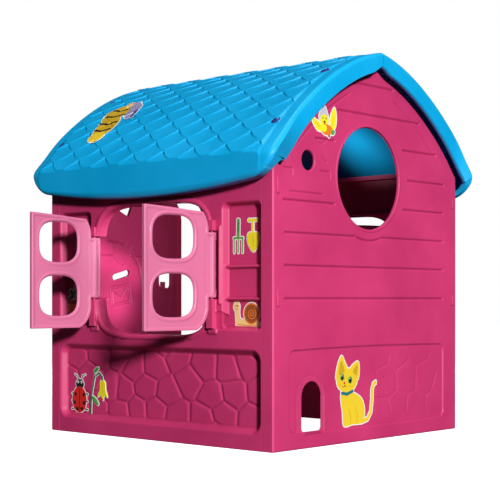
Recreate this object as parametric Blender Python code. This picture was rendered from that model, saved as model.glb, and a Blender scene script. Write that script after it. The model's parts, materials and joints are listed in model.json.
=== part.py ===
"""Children's plastic playhouse: four moulded walls, a two-part roof, shutters and a door.

Metres, +Z up. The house stands on z = 0. Everything hangs from one empty at the middle of
the footprint; the round-window gable faces -Y, the door gable faces +Y, and the shuttered
side walls face -X and +X.
"""
import math

import bmesh
import bpy
from mathutils import Matrix, Vector

# ---------------------------------------------------------------- driving dimensions
HOUSE_WIDTH = 0.944          # X, outside the walls
HOUSE_DEPTH = 0.984          # Y, outside the gables
RIDGE_Z = 1.202
SKIN = 0.007                 # moulded skin of a gable tray
GABLE_DEPTH = 0.041          # how far a gable tray turns round the corner
WALL_DEPTH = 0.035           # side wall, face to back
WALL_TOP_Z = 0.875
SHOULDER_Z = 0.885
GAP = 0.0003                 # between pieces that touch

ROOF_HALF_SPAN = 0.530
ROOF_HIP = (0.470, 0.919)    # where the slope starts to turn down, across and Z
ROOF_OVERHANG = 0.043        # past each gable
ROOF_SHEET = 0.018
ROOF_LIP = 0.055             # depth of the lip at both ends
RIDGE_LIP = 0.041            # the same lip at the ridge
ROOF_CLEAR = 0.003           # between the lip and a gable's face
EAVE_TURN_Z = 0.840          # where the eave becomes vertical
EAVE_END_Z = 0.795           # lowest point of the eave at its ends
EAVE_BOW = 0.044             # how much lower the eave is at mid-length
ROOF_CORNER = 0.080          # corner radius in plan
ROOF_BOSS_R = 0.013          # pillar under the roof at each screw
BOSS_GAP = 0.0008            # between a pillar's foot and the gable's curved top
GABLE_DROP = 0.046           # gable's top edge below the roof's outer surface
PEAK_HALF = 0.031            # gable's peak, which carries the ridge
PEAK_Z = 1.1765
RIDGE_HALF_GAP = 0.0004

WINDOW_SHIFT_Y = 0.008       # window centre from the middle of the side wall
WINDOW_HALF = (0.250, 0.2025)
WINDOW_Z = 0.5300
WINDOW_POWER = 5.0
SHUTTER_CLEAR = 0.005
SHUTTER_AXIS_OUT = 0.0043    # hinge axis outside the wall face
SHUTTER_AXIS_HALF = 0.2626   # hinge axis from the window centre
SHUTTER_REACH = 0.2614       # hinge axis to free edge
SHUTTER_THICK = 0.014
SHUTTER_Z = (0.347, 0.708)
TAB_Z = (0.442, 0.637)
TAB_BACK = 0.022             # tab behind the hinge axis
BARREL_R = 0.0095
PIN_R = 0.004
BORE_R = 0.0045
LEFT_REAR_OPEN = math.radians(86.0)
LEFT_FRONT_OPEN = math.radians(89.0)

DOOR_AXIS = (-0.060, 0.0085)  # X, and distance outside the door gable's face
DOOR_X = (-0.052, 0.256)     # doorway
DOOR_SILL_Z = 0.055
DOOR_SPRING_Z = 0.740
DOOR_ARCH_RISE = 0.090
DOOR_THICK = 0.013
DOOR_OPEN = math.radians(20.0)

ROUND_WINDOW = (-0.018, 0.812, 0.159)
BIRD_HOLE = (-0.314, 0.846, 0.031)
PET_DOOR = (-0.340, -0.247, 0.048, 0.197)

ROUND_STEPS = 32


def shutter_corner_x():
    """Lowest X that the open shutters reach, in the house's own axes."""
    reach = SHUTTER_REACH * math.sin(LEFT_FRONT_OPEN)
    corner = SHUTTER_THICK / 2 * math.cos(LEFT_FRONT_OPEN)
    return -HOUSE_WIDTH / 2 - SHUTTER_AXIS_OUT - reach - corner


def door_corner_y():
    """Highest Y that the open door reaches, in the house's own axes."""
    reach = (DOOR_X[1] - 0.003 - DOOR_AXIS[0]) * math.sin(DOOR_OPEN)
    return HOUSE_DEPTH / 2 + DOOR_AXIS[1] + reach - DOOR_AXIS[1] * math.cos(DOOR_OPEN)


# The origin is under the middle of the whole object with its shutters and door open.
HOUSE_X = -(shutter_corner_x() + ROOF_HALF_SPAN) / 2
HOUSE_Y = -(door_corner_y() - HOUSE_DEPTH / 2 - ROOF_OVERHANG) / 2


# ---------------------------------------------------------------- scene and helpers
for old in list(bpy.data.objects):
    bpy.data.objects.remove(old, do_unlink=True)

PARTS = bpy.data.collections.new("playhouse")
CUTTERS = bpy.data.collections.new("cutters")
bpy.context.scene.collection.children.link(PARTS)
bpy.context.scene.collection.children.link(CUTTERS)

COLOURS = {
    "magenta": ((0.56, 0.035, 0.18, 1.0), 0.42),
    "pink": ((0.80, 0.21, 0.38, 1.0), 0.38),
    "blue": ((0.0, 0.36, 0.76, 1.0), 0.36),
    "indigo": ((0.02, 0.03, 0.22, 1.0), 0.45),
    "paper": ((0.90, 0.85, 0.55, 1.0), 0.55),
}


def make_empty(name, location, turn=0.0, parent=None):
    empty = bpy.data.objects.new(name, None)
    empty.location = location
    empty.rotation_euler = (0.0, 0.0, turn)
    empty.parent = parent
    PARTS.objects.link(empty)
    return empty


HOUSE = make_empty("house", (HOUSE_X, HOUSE_Y, 0.0))
LEFT_SIDE = make_empty("left_side", (0, 0, 0), 0.0, HOUSE)
RIGHT_SIDE = make_empty("right_side", (0, 0, 0), math.pi, HOUSE)


def paint(obj, colour):
    rgba, roughness = COLOURS[colour]
    material = bpy.data.materials.new(obj.name + "_" + colour)
    material.use_nodes = True
    shader = material.node_tree.nodes["Principled BSDF"]
    shader.inputs["Base Color"].default_value = rgba
    shader.inputs["Roughness"].default_value = roughness
    shader.inputs["Metallic"].default_value = 0.0
    obj.data.materials.clear()
    obj.data.materials.append(material)


def keep(obj, parent, colour):
    """File a finished piece under the house with its own material."""
    for collection in list(obj.users_collection):
        collection.objects.unlink(obj)
    PARTS.objects.link(obj)
    obj.parent = parent
    paint(obj, colour)
    return obj


def tool(obj, parent):
    """Hide a helper solid that only cuts or joins."""
    for collection in list(obj.users_collection):
        collection.objects.unlink(obj)
    CUTTERS.objects.link(obj)
    obj.parent = parent
    obj.hide_render = True
    obj.display_type = "WIRE"
    return obj


def boolean(target, other, operation):
    modifier = target.modifiers.new(other.name, "BOOLEAN")
    modifier.operation = operation
    modifier.solver = "EXACT"
    modifier.object = other


def mesh_object(name, bm, matrix=None):
    """Object from a worked mesh, which is freed."""
    if matrix is not None:
        bmesh.ops.transform(bm, matrix=matrix, verts=bm.verts)
    bmesh.ops.recalc_face_normals(bm, faces=bm.faces)
    mesh = bpy.data.meshes.new(name)
    bm.to_mesh(mesh)
    bm.free()
    obj = bpy.data.objects.new(name, mesh)
    bpy.context.scene.collection.objects.link(obj)
    return obj


def box(name, low, high):
    bm = bmesh.new()
    bmesh.ops.create_cube(bm, size=1.0)
    size = Vector(high) - Vector(low)
    middle = (Vector(high) + Vector(low)) / 2
    matrix = Matrix.Translation(middle) @ Matrix.Diagonal((size.x, size.y, size.z, 1.0))
    return mesh_object(name, bm, matrix)


def rod(name, start, end, radius, steps=ROUND_STEPS):
    """A closed cylinder between two points."""
    bm = bmesh.new()
    start, end = Vector(start), Vector(end)
    axis = end - start
    bmesh.ops.create_cone(bm, cap_ends=True, segments=steps, radius1=radius, radius2=radius,
                          depth=axis.length)
    turn = axis.to_track_quat("Z", "Y").to_matrix().to_4x4()
    return mesh_object(name, bm, Matrix.Translation((start + end) / 2) @ turn)


# A flat outline is drawn in a curve's own XY plane and stood up by one of these.
FACE_Y = Matrix(((1, 0, 0, 0), (0, 0, -1, 0), (0, 1, 0, 0), (0, 0, 0, 1)))
FACE_X = Matrix(((0, 0, 1, 0), (1, 0, 0, 0), (0, 1, 0, 0), (0, 0, 0, 1)))
FACE_Z = Matrix.Identity(4)


def plate(name, loops, near, far, facing):
    """Solid of one flat outline, with holes, between two levels along its facing axis."""
    curve = bpy.data.curves.new(name, "CURVE")
    curve.dimensions = "2D"
    curve.fill_mode = "BOTH"
    curve.extrude = abs(far - near) / 2
    for loop in loops:
        spline = curve.splines.new("POLY")
        spline.points.add(len(loop) - 1)
        for point, (a, b) in zip(spline.points, loop):
            point.co = (a, b, 0.0, 1.0)
        spline.use_cyclic_u = True
    drawn = bpy.data.objects.new(name + "_outline", curve)
    bpy.context.scene.collection.objects.link(drawn)
    level = (near + far) / 2
    lift = {id(FACE_Y): (0, level, 0), id(FACE_X): (level, 0, 0), id(FACE_Z): (0, 0, level)}
    drawn.matrix_world = Matrix.Translation(lift[id(facing)]) @ facing
    bpy.context.view_layer.update()
    graph = bpy.context.evaluated_depsgraph_get()
    mesh = bpy.data.meshes.new_from_object(drawn.evaluated_get(graph))
    bm = bmesh.new()
    bm.from_mesh(mesh)
    bpy.data.meshes.remove(mesh)
    bmesh.ops.remove_doubles(bm, verts=bm.verts, dist=1e-5)
    obj = mesh_object(name, bm, drawn.matrix_world.copy())
    bpy.data.objects.remove(drawn, do_unlink=True)
    return obj


def arc(centre, radius, start, end, steps):
    """Points of an arc, angles in degrees."""
    points = []
    for i in range(steps + 1):
        angle = math.radians(start + (end - start) * i / steps)
        points.append((centre[0] + radius * math.cos(angle), centre[1] + radius * math.sin(angle)))
    return points


def rounded_box(low, high, radius, steps=5):
    (x0, y0), (x1, y1) = low, high
    points = arc((x1 - radius, y0 + radius), radius, -90, 0, steps)
    points += arc((x1 - radius, y1 - radius), radius, 0, 90, steps)
    points += arc((x0 + radius, y1 - radius), radius, 90, 180, steps)
    points += arc((x0 + radius, y0 + radius), radius, 180, 270, steps)
    return points


def superellipse(centre, half, power, steps):
    points = []
    for i in range(steps):
        angle = 2 * math.pi * i / steps
        c, s = math.cos(angle), math.sin(angle)
        x = half[0] * math.copysign(abs(c) ** (2 / power), c)
        y = half[1] * math.copysign(abs(s) ** (2 / power), s)
        points.append((centre[0] + x, centre[1] + y))
    return points


def turned(points, centre, degrees):
    c, s = math.cos(math.radians(degrees)), math.sin(math.radians(degrees))
    return [(centre[0] + x * c - y * s, centre[1] + x * s + y * c) for x, y in points]


def bezier(p0, p1, p2, p3, steps):
    points = []
    for i in range(steps + 1):
        t = i / steps
        weights = ((1 - t) ** 3, 3 * (1 - t) ** 2 * t, 3 * (1 - t) * t * t, t ** 3)
        points.append(tuple(sum(w * p[k] for w, p in zip(weights, (p0, p1, p2, p3)))
                            for k in range(2)))
    return points


def offset_line(points, distance):
    """Shift an open line sideways, to the right of its direction for a positive distance."""
    moved = []
    for i, point in enumerate(points):
        before = Vector(points[max(i - 1, 0)])
        after = Vector(points[min(i + 1, len(points) - 1)])
        along = (after - before).normalized()
        moved.append((point[0] + along.y * distance, point[1] - along.x * distance))
    return moved


# ---------------------------------------------------------------- roof line
def roof_line(slope_steps=10, eave_steps=4):
    """Outer surface from the ridge to where the eave turns vertical: (across, Z)."""
    line = bezier((0.0, RIDGE_Z), (0.160, 1.175), (0.340, 1.060), ROOF_HIP, slope_steps)
    line += bezier(ROOF_HIP, (0.505, 0.881), (ROOF_HALF_SPAN, 0.865),
                   (ROOF_HALF_SPAN, EAVE_TURN_Z), eave_steps)[1:]
    return line


def roof_point(across):
    """Outer surface height and outward normal at one distance from the ridge."""
    line = roof_line(40, 12)
    for (xa, za), (xb, zb) in zip(line, line[1:]):
        if xa <= across <= xb:
            share = (across - xa) / (xb - xa)
            along = Vector((xb - xa, zb - za)).normalized()
            return za + share * (zb - za), Vector((-along.y, along.x))
    raise ValueError("outside the roof")


def build_roof(name, side):
    """One roof half: a lipped shell, cut square at the ridge."""
    half = HOUSE_DEPTH / 2 + ROOF_OVERHANG
    lowest = EAVE_END_Z - EAVE_BOW
    outer = [(RIDGE_HALF_GAP, RIDGE_Z)] + roof_line()[1:] + [(ROOF_HALF_SPAN, lowest)]
    inner = [p for p in offset_line(roof_line(), ROOF_LIP) if p[0] < ROOF_HIP[0]]
    inner[0] = (RIDGE_HALF_GAP, RIDGE_Z - RIDGE_LIP)
    section = outer + [(ROOF_HALF_SPAN - ROOF_SHEET, lowest)] + inner[::-1]
    roof = plate(name, [[(side * x, z) for x, z in section]], -half, half, FACE_Y)

    room = HOUSE_DEPTH / 2 + ROOF_CLEAR
    sheet = offset_line(roof_line(), ROOF_SHEET)
    under = [(-0.01, RIDGE_Z - ROOF_SHEET)] + sheet + [(ROOF_HALF_SPAN - ROOF_SHEET, 0.70)]
    under += [(-0.01, 0.70)]
    hollow = plate(name + "_hollow", [[(side * x, z) for x, z in under]], -room, room, FACE_Y)
    boolean(roof, tool(hollow, HOUSE), "DIFFERENCE")

    for y in SCREW_Y:
        for across in SCREW_ACROSS:
            start, out = screw_line(side, across, y)
            boss = rod(name + "_boss", start - out * (GABLE_DROP - BOSS_GAP), start - out * 0.010,
                       ROOF_BOSS_R, 20)
            boolean(roof, tool(boss, HOUSE), "UNION")

    low, high = sorted((-side * 0.05, side * ROOF_HALF_SPAN))
    plan = rounded_box((low, -half), (high, half), ROOF_CORNER, 6)
    trim = plate(name + "_plan", [plan], 0.60, 1.30, FACE_Z)
    boolean(roof, tool(trim, HOUSE), "INTERSECT")

    bow = [(half + 0.01, 1.30), (-half - 0.01, 1.30)]
    for i in range(13):
        share = -1 + 2 * i / 12
        bow.append((share * (half + 0.01), EAVE_END_Z - EAVE_BOW * (1 - share * share)))
    edge = plate(name + "_bow", [bow], -0.70, 0.70, FACE_X)
    boolean(roof, tool(edge, HOUSE), "INTERSECT")

    for y in SCREW_Y:
        for across in SCREW_ACROSS:
            boolean(roof, screw_shaft(name + "_hole", side, across, y, SCREW_HOLE_R), "DIFFERENCE")
    return keep(roof, HOUSE, "blue")


# ---------------------------------------------------------------- roof screws
SCREW_Y = (-0.474, 0.474)
SCREW_ACROSS = (0.212, 0.438)
SCREW_HEAD_R = 0.015
SCREW_HEAD = 0.004
SCREW_LENGTH = 0.072
SCREW_SHANK_R = 0.005
SCREW_HOLE_R = 0.0058


def screw_line(side, across, y):
    z, normal = roof_point(across)
    out = Vector((side * normal.x, 0.0, normal.y))
    return Vector((side * across, y, z)), out


def screw_shaft(name, side, across, y, radius):
    start, out = screw_line(side, across, y)
    shaft = rod(name, start - out * (SCREW_LENGTH + 0.004), start + out * 0.02, radius, 16)
    return tool(shaft, HOUSE)


def build_screw(name, side, across, y):
    """Large-headed plastic screw through the roof into the gable's top flange."""
    start, out = screw_line(side, across, y)
    screw = rod(name, start + out * GAP, start + out * (GAP + SCREW_HEAD), SCREW_HEAD_R, 24)
    shank = rod(name + "_shank", start - out * SCREW_LENGTH, start + out * 0.003, SCREW_SHANK_R, 16)
    boolean(screw, tool(shank, HOUSE), "UNION")
    return keep(screw, HOUSE, "indigo")


# ---------------------------------------------------------------- gables
def gable_outline(inset):
    """Gable tray outline, or the same shape with every edge moved in by the inset."""
    half = HOUSE_WIDTH / 2 - inset
    top = [p for p in offset_line(roof_line(20), GABLE_DROP + inset) if 0.045 < p[0] < 0.420]
    right = [(half, inset), (half, SHOULDER_Z - 0.022 - inset * 0.6)]
    right += [(half - 0.018, SHOULDER_Z - inset)] + top[::-1]
    if inset == 0:
        right += [(PEAK_HALF, top[0][1] + 0.004), (PEAK_HALF, PEAK_Z)]
    return right + [(-x, z) for x, z in right[::-1]]


CLIP_Z = (0.432, 0.757)
CLIP_X = HOUSE_WIDTH / 2 - 0.020
CLIP_BLADE = (0.003, 0.010)      # half width and half height of a clip's blade
CLIP_PAD = (0.006, 0.015)
CLIP_SLOT = (0.0035, 0.0105)


def gable_tray(name, facing):
    """Tray with its skin outside; facing is -1 for the round-window gable, +1 for the door."""
    face = facing * HOUSE_DEPTH / 2
    back = face - facing * GABLE_DEPTH
    tray = plate(name, [gable_outline(0.0)], face, back, FACE_Y)
    pocket = plate(name + "_pocket", [gable_outline(SKIN)], face - facing * SKIN,
                   back - facing * 0.01, FACE_Y)
    boolean(tray, tool(pocket, HOUSE), "DIFFERENCE")
    for side in (-1, 1):
        for across in SCREW_ACROSS:
            hole = screw_shaft(name + "_screw", side, across, facing * abs(SCREW_Y[0]), SCREW_HOLE_R)
            boolean(tray, hole, "DIFFERENCE")
        for z in CLIP_Z:
            boolean(tray, clip_slot(name, side, facing, z), "DIFFERENCE")
    return tray


def opening(tray, name, loop, facing):
    """Cut one opening right through a gable."""
    face = facing * HOUSE_DEPTH / 2
    cutter = plate(name, [loop], face + facing * 0.02, face - facing * 0.06, FACE_Y)
    boolean(tray, tool(cutter, HOUSE), "DIFFERENCE")


def build_round_window_gable():
    tray = gable_tray("rear_gable_wall", -1)
    x, z, radius = ROUND_WINDOW
    opening(tray, "round_window", arc((x, z), radius, 0, 360, 48)[:-1], -1)
    x, z, radius = BIRD_HOLE
    opening(tray, "bird_hole", arc((x, z), radius, 0, 360, 24)[:-1], -1)
    x0, x1, z0, z1 = PET_DOOR
    radius = (x1 - x0) / 2
    arch = arc((x0 + radius, z1 - radius), radius, 0, 180, 12)
    foot = arc((x0 + 0.012, z0 + 0.012), 0.012, 180, 270, 3)
    foot += arc((x1 - 0.012, z0 + 0.012), 0.012, 270, 360, 3)
    opening(tray, "pet_door", arch + foot, -1)
    return keep(tray, HOUSE, "magenta")


def door_outline(inset):
    """Arched doorway, or the leaf's shape with the inset as its clearance."""
    x0, x1 = DOOR_X[0] + inset, DOOR_X[1] - inset
    z0 = DOOR_SILL_Z + inset
    middle, half = (x0 + x1) / 2, (x1 - x0) / 2
    points = [(x0, z0), (x1, z0)]
    for i in range(17):
        angle = math.pi * i / 16
        rise = (DOOR_ARCH_RISE - inset) * math.sin(angle)
        points.append((middle + half * math.cos(angle), DOOR_SPRING_Z + rise))
    return points


def slot_loop(centre, length, height, degrees):
    """Rounded slot turned by some degrees."""
    radius = height / 2
    straight = length / 2 - radius
    loop = arc((straight, 0), radius, -90, 90, 6) + arc((-straight, 0), radius, 90, 270, 6)
    return turned(loop, centre, degrees)


HINGE_BARRELS = (0.200, 0.620)   # bottom of each leaf barrel
BARREL_HEIGHT = 0.045
EAR_HEIGHT = 0.022
DOOR_BARREL_R = 0.008
MAIL_SLOT = (-0.167, 0.523, 0.086, 0.023, 15.0)   # centre X and Z, length, height, tilt
TILTED_WINDOW = (-0.151, 0.7776, 0.0375, -24.0)   # centre X and Z, half side, tilt
HAND_HOLE = ((0.120, 0.480), (0.225, 0.560))      # from the hinge axis, and Z


def build_door_gable():
    tray = gable_tray("front_gable_wall", 1)
    opening(tray, "doorway", door_outline(0.0), 1)
    x, z, length, height, tilt = MAIL_SLOT
    opening(tray, "mail_slot", slot_loop((x, z), length, height, tilt), 1)
    x, z, half, tilt = TILTED_WINDOW
    square = rounded_box((-half, -half), (half, half), 0.006, 3)
    opening(tray, "tilted_window", turned(square, (x, z), tilt), 1)
    face = HOUSE_DEPTH / 2
    x, y = DOOR_AXIS[0], face + DOOR_AXIS[1]
    for low in HINGE_BARRELS:
        for ear in (low - EAR_HEIGHT - 0.001, low + BARREL_HEIGHT + 0.001):
            base = box("door_ear_base", (x - 0.008, face - 0.004, ear), (x + 0.004, y, ear + EAR_HEIGHT))
            boolean(tray, tool(base, HOUSE), "UNION")
            eye = rod("door_ear", (x, y, ear), (x, y, ear + EAR_HEIGHT), DOOR_BARREL_R, 20)
            boolean(tray, tool(eye, HOUSE), "UNION")
        bottom = low - EAR_HEIGHT + 0.004
        top = low + BARREL_HEIGHT + EAR_HEIGHT + 0.01
        boolean(tray, tool(rod("door_pin_bore", (x, y, bottom), (x, y, top), BORE_R, 16), HOUSE),
                "DIFFERENCE")
    return keep(tray, HOUSE, "magenta")


# ---------------------------------------------------------------- wall clips
def clip_slot(name, side, facing, z):
    """Slot through a gable skin and a side wall's tongue for one locking clip."""
    face = facing * HOUSE_DEPTH / 2
    x = side * CLIP_X
    ends = sorted((face + facing * 0.01, face - facing * 0.030))
    wide, tall = CLIP_SLOT
    slot = box(name + "_clip_slot", (x - wide, ends[0], z - tall), (x + wide, ends[1], z + tall))
    return tool(slot, HOUSE)


def build_clip(name, side, facing, z):
    """Locking clip: a small pad outside the gable with a blade through both walls."""
    face = facing * HOUSE_DEPTH / 2
    x = side * CLIP_X
    ends = sorted((face + facing * GAP, face + facing * 0.003))
    wide, tall = CLIP_PAD
    clip = box(name, (x - wide, ends[0], z - tall), (x + wide, ends[1], z + tall))
    ends = sorted((face + facing * 0.001, face - facing * 0.028))
    wide, tall = CLIP_BLADE
    blade = box(name + "_blade", (x - wide, ends[0], z - tall), (x + wide, ends[1], z + tall))
    boolean(clip, tool(blade, HOUSE), "UNION")
    return keep(clip, HOUSE, "magenta")


# ---------------------------------------------------------------- side walls and shutters
FACE = -HOUSE_WIDTH / 2                      # outer face of the left wall
BACK = FACE + WALL_DEPTH
PANEL_HALF = HOUSE_DEPTH / 2 - GABLE_DEPTH - GAP
TONGUE_HALF = HOUSE_DEPTH / 2 - SKIN - GAP
TONGUE_TOP_Z = 0.845
RECESS_DEPTH = 0.024
RECESS_SKIN_X = FACE + RECESS_DEPTH
AXIS_X = FACE - SHUTTER_AXIS_OUT
STONE_PANEL = ((-0.446, 0.045), (0.446, 0.294))
NICHE = ((-0.446, 0.346), (-0.290, 0.724))
NOTCH_CLEAR = 0.0045             # above and below a shutter's tab
EAR_Z = (0.352, 0.672)           # lowest and highest point of the shutter hinge ears
PIN_Z = (0.4205, 0.671)
PANES = ((0.1505, 0.449), (0.1505, 0.618))   # shutter holes: from the hinge axis, and Z
PANE_HALF = (0.0785, 0.0635)


def axis_y(end):
    """Hinge axis of the shutter at the rear (-1) or front (+1) end of the left wall."""
    return WINDOW_SHIFT_Y + end * SHUTTER_AXIS_HALF


def build_side_wall(name, side_empty):
    """Side wall moulding with recessed panels, niches, the window and hinge ears."""
    wall = box(name, (FACE, -PANEL_HALF, 0.0), (BACK, PANEL_HALF, WALL_TOP_Z))
    tongue = box(name + "_tongue", (FACE + SKIN + GAP, -TONGUE_HALF, SKIN + GAP),
                 (BACK, TONGUE_HALF, TONGUE_TOP_Z))
    boolean(wall, tool(tongue, side_empty), "UNION")

    stone = plate(name + "_stone", [rounded_box(*STONE_PANEL, 0.038)], FACE - 0.02,
                  RECESS_SKIN_X, FACE_X)
    boolean(wall, tool(stone, side_empty), "DIFFERENCE")
    (y0, z0), (y1, z1) = NICHE
    for low, high in (((y0, z0), (y1, z1)), ((-y1, z0), (-y0, z1))):
        niche = plate(name + "_niche", [rounded_box(low, high, 0.02)], FACE - 0.02,
                      RECESS_SKIN_X, FACE_X)
        boolean(wall, tool(niche, side_empty), "DIFFERENCE")

    behind = plate(name + "_hollow", [rounded_box((-0.43, 0.740), (0.43, 0.860), 0.02)],
                   FACE + 0.010, BACK + 0.02, FACE_X)
    boolean(wall, tool(behind, side_empty), "DIFFERENCE")

    barrel = superellipse((WINDOW_SHIFT_Y, WINDOW_Z), WINDOW_HALF, WINDOW_POWER, 48)
    window = plate(name + "_window", [barrel], FACE - 0.03, BACK + 0.02, FACE_X)
    boolean(wall, tool(window, side_empty), "DIFFERENCE")

    for end in (-1, 1):
        y = axis_y(end)
        ends = sorted((y + end * (TAB_BACK + 0.002), y - end * 0.05))
        notch = box(name + "_notch", (FACE - 0.03, ends[0], TAB_Z[0] - NOTCH_CLEAR),
                    (BACK + 0.02, ends[1], TAB_Z[1] + NOTCH_CLEAR))
        boolean(wall, tool(notch, side_empty), "DIFFERENCE")
        for low, high in ((TAB_Z[1] + NOTCH_CLEAR, EAR_Z[1]), (EAR_Z[0], TAB_Z[0] - NOTCH_CLEAR)):
            ear = box(name + "_ear", (AXIS_X - 0.011, y - 0.012, low),
                      (RECESS_SKIN_X + 0.002, y + 0.012, high))
            boolean(wall, tool(ear, side_empty), "UNION")
        bore = rod(name + "_bore", (AXIS_X, y, PIN_Z[0] - 0.0005), (AXIS_X, y, EAR_Z[1] + 0.018),
                   BORE_R, 16)
        boolean(wall, tool(bore, side_empty), "DIFFERENCE")

    for z in CLIP_Z:
        for end in (-1, 1):
            ends = sorted((end * 0.5, end * 0.460))
            wide, tall = CLIP_SLOT
            slot = box(name + "_clip_slot", (-CLIP_X - wide, ends[0], z - tall),
                       (-CLIP_X + wide, ends[1], z + tall))
            boolean(wall, tool(slot, side_empty), "DIFFERENCE")
    return keep(wall, side_empty, "magenta")


def shutter_outline():
    """Shutter shape: distance from the hinge axis, and Z. It follows the window's curved corners."""
    z0, z1 = SHUTTER_Z
    corners = []
    for t in (0.060, 0.046, 0.034, 0.025, 0.0175):
        across = (SHUTTER_AXIS_HALF - t) / WINDOW_HALF[0]
        corners.append((t, WINDOW_HALF[1] * (1 - across ** WINDOW_POWER) ** (1 / WINDOW_POWER)
                        - SHUTTER_CLEAR))
    points = [(SHUTTER_REACH, z0), (SHUTTER_REACH, z1)]
    points += [(t, min(z1, WINDOW_Z + half)) for t, half in corners]
    points += [(0.0175, TAB_Z[1]), (-TAB_BACK, TAB_Z[1]), (-TAB_BACK, TAB_Z[0]), (0.0175, TAB_Z[0])]
    points += [(t, max(z0, WINDOW_Z - half)) for t, half in corners[::-1]]
    return points


def build_shutter(name, side_empty, end, angle):
    """Shutter with two rounded holes, built closed round its axis and swung by the angle."""
    flip = -end
    outline = [(flip * t, z) for t, z in shutter_outline()]
    holes = []
    for t, z in PANES:
        holes.append(superellipse((flip * t, z), PANE_HALF, 3.0, 32))
    shutter = plate(name, [outline] + holes, -SHUTTER_THICK / 2, SHUTTER_THICK / 2, FACE_X)
    hinge = make_empty(name + "_hinge", (AXIS_X, axis_y(end), 0.0), -end * angle, side_empty)
    barrel = rod(name + "_barrel", (0, 0, TAB_Z[0]), (0, 0, TAB_Z[1]), BARREL_R, 24)
    boolean(shutter, tool(barrel, hinge), "UNION")
    bore = rod(name + "_bore", (0, 0, TAB_Z[0] - 0.01), (0, 0, TAB_Z[1] + 0.01), BORE_R, 16)
    boolean(shutter, tool(bore, hinge), "DIFFERENCE")
    return keep(shutter, hinge, "pink")


def build_shutter_pin(name, side_empty, end):
    y = axis_y(end)
    pin = rod(name, (AXIS_X, y, PIN_Z[0]), (AXIS_X, y, PIN_Z[1]), PIN_R, 16)
    return keep(pin, side_empty, "magenta")


# ---------------------------------------------------------------- door
def build_door():
    """Door leaf with two hinge straps and a hand hole, swung open a little."""
    face = HOUSE_DEPTH / 2
    ax, ay = DOOR_AXIS[0], face + DOOR_AXIS[1]
    hinge = make_empty("door_hinge", (ax, ay, 0.0), DOOR_OPEN, HOUSE)
    outline = [(x - ax, z) for x, z in door_outline(0.003)]
    hand = rounded_box(*HAND_HOLE, 0.018, 4)
    leaf_out = -DOOR_AXIS[1]
    leaf = plate("door_leaf", [outline, hand], leaf_out - DOOR_THICK, leaf_out, FACE_Y)
    lug = box("door_lug", (0.142, leaf_out - 0.009, 0.470), (0.176, leaf_out - 0.004, 0.502))
    boolean(leaf, tool(lug, hinge), "UNION")
    for low in HINGE_BARRELS:
        high = low + BARREL_HEIGHT
        strap = box("door_strap", (0.0, leaf_out + GAP * 2, low), (0.012, -0.001, high))
        boolean(leaf, tool(strap, hinge), "UNION")
        plate_out = box("door_strap_plate", (0.0105, leaf_out - 0.003, low), (0.090, -0.001, high))
        boolean(leaf, tool(plate_out, hinge), "UNION")
        barrel = rod("door_barrel", (0, 0, low), (0, 0, high), DOOR_BARREL_R - 0.0002, 20)
        boolean(leaf, tool(barrel, hinge), "UNION")
        bore = rod("door_bore", (0, 0, low - 0.01), (0, 0, high + 0.01), BORE_R, 16)
        boolean(leaf, tool(bore, hinge), "DIFFERENCE")
    return keep(leaf, hinge, "magenta")


def build_door_pin(name, low):
    x, y = DOOR_AXIS[0], HOUSE_DEPTH / 2 + DOOR_AXIS[1]
    bottom = low - EAR_HEIGHT + 0.0045
    pin = rod(name, (x, y, bottom), (x, y, low + BARREL_HEIGHT + EAR_HEIGHT - 0.001), PIN_R, 16)
    return keep(pin, HOUSE, "magenta")


# ---------------------------------------------------------------- picture stickers
STICKER = 0.0005
BEE_STRIP = (0.15, 0.50)     # part of the slope, across, that the roof's sticker is cut from


def smooth_loop(points, steps=3):
    """Closed Catmull-Rom line through a few corner points."""
    loop = []
    count = len(points)
    for i in range(count):
        p0, p1, p2, p3 = (Vector(points[(i + k - 1) % count]) for k in range(4))
        for j in range(steps):
            t = j / steps
            point = 0.5 * (2 * p1 + (p2 - p0) * t + (2 * p0 - 5 * p1 + 4 * p2 - p3) * t * t
                           + (3 * p1 - p0 - 3 * p2 + p3) * t ** 3)
            loop.append((point.x, point.y))
    return loop


# Each outline is drawn in a unit square, from its lower left corner.
CAT = ((0.22, 0.0), (0.62, 0.03), (0.86, 0.08), (0.90, 0.52), (0.98, 0.58), (0.98, 0.66),
       (0.80, 0.60), (0.78, 0.18), (0.66, 0.30), (0.48, 0.46), (0.52, 0.66), (0.58, 0.88),
       (0.34, 0.76), (0.18, 1.0), (0.06, 0.76), (0.02, 0.60), (0.16, 0.44), (0.20, 0.22))
BIRD = ((0.50, 0.02), (0.78, 0.10), (0.98, 0.30), (0.92, 0.98), (0.80, 0.94), (0.66, 0.56),
        (0.56, 0.62), (0.46, 0.98), (0.36, 0.74), (0.26, 0.58), (0.02, 0.66), (0.16, 0.30))
TOOLS = ((0.02, 0.04), (0.30, 0.02), (0.52, 0.10), (0.72, 0.06), (0.98, 0.40), (0.88, 0.62),
         (0.92, 0.96), (0.60, 0.96), (0.66, 0.60), (0.34, 0.60), (0.32, 0.98), (0.18, 0.98),
         (0.14, 0.60), (0.02, 0.50))
SNAIL = ((0.16, 0.02), (0.96, 0.02), (0.92, 0.16), (0.98, 0.50), (0.74, 0.78), (0.46, 0.60),
         (0.34, 0.42), (0.32, 0.92), (0.12, 0.98), (0.02, 0.74), (0.12, 0.46))
POT = ((0.22, 0.02), (0.80, 0.02), (0.90, 0.40), (0.98, 0.66), (0.70, 0.66), (0.62, 0.98),
       (0.44, 0.98), (0.40, 0.66), (0.08, 0.70), (0.04, 0.42))
LADYBIRD = ((0.04, 0.02), (0.46, 0.02), (0.50, 0.44), (0.66, 0.60), (0.78, 0.36), (0.96, 0.40),
            (0.98, 0.94), (0.70, 0.90), (0.60, 0.98), (0.46, 0.66), (0.30, 0.98), (0.14, 0.94),
            (0.18, 0.62), (0.02, 0.32))
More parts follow.
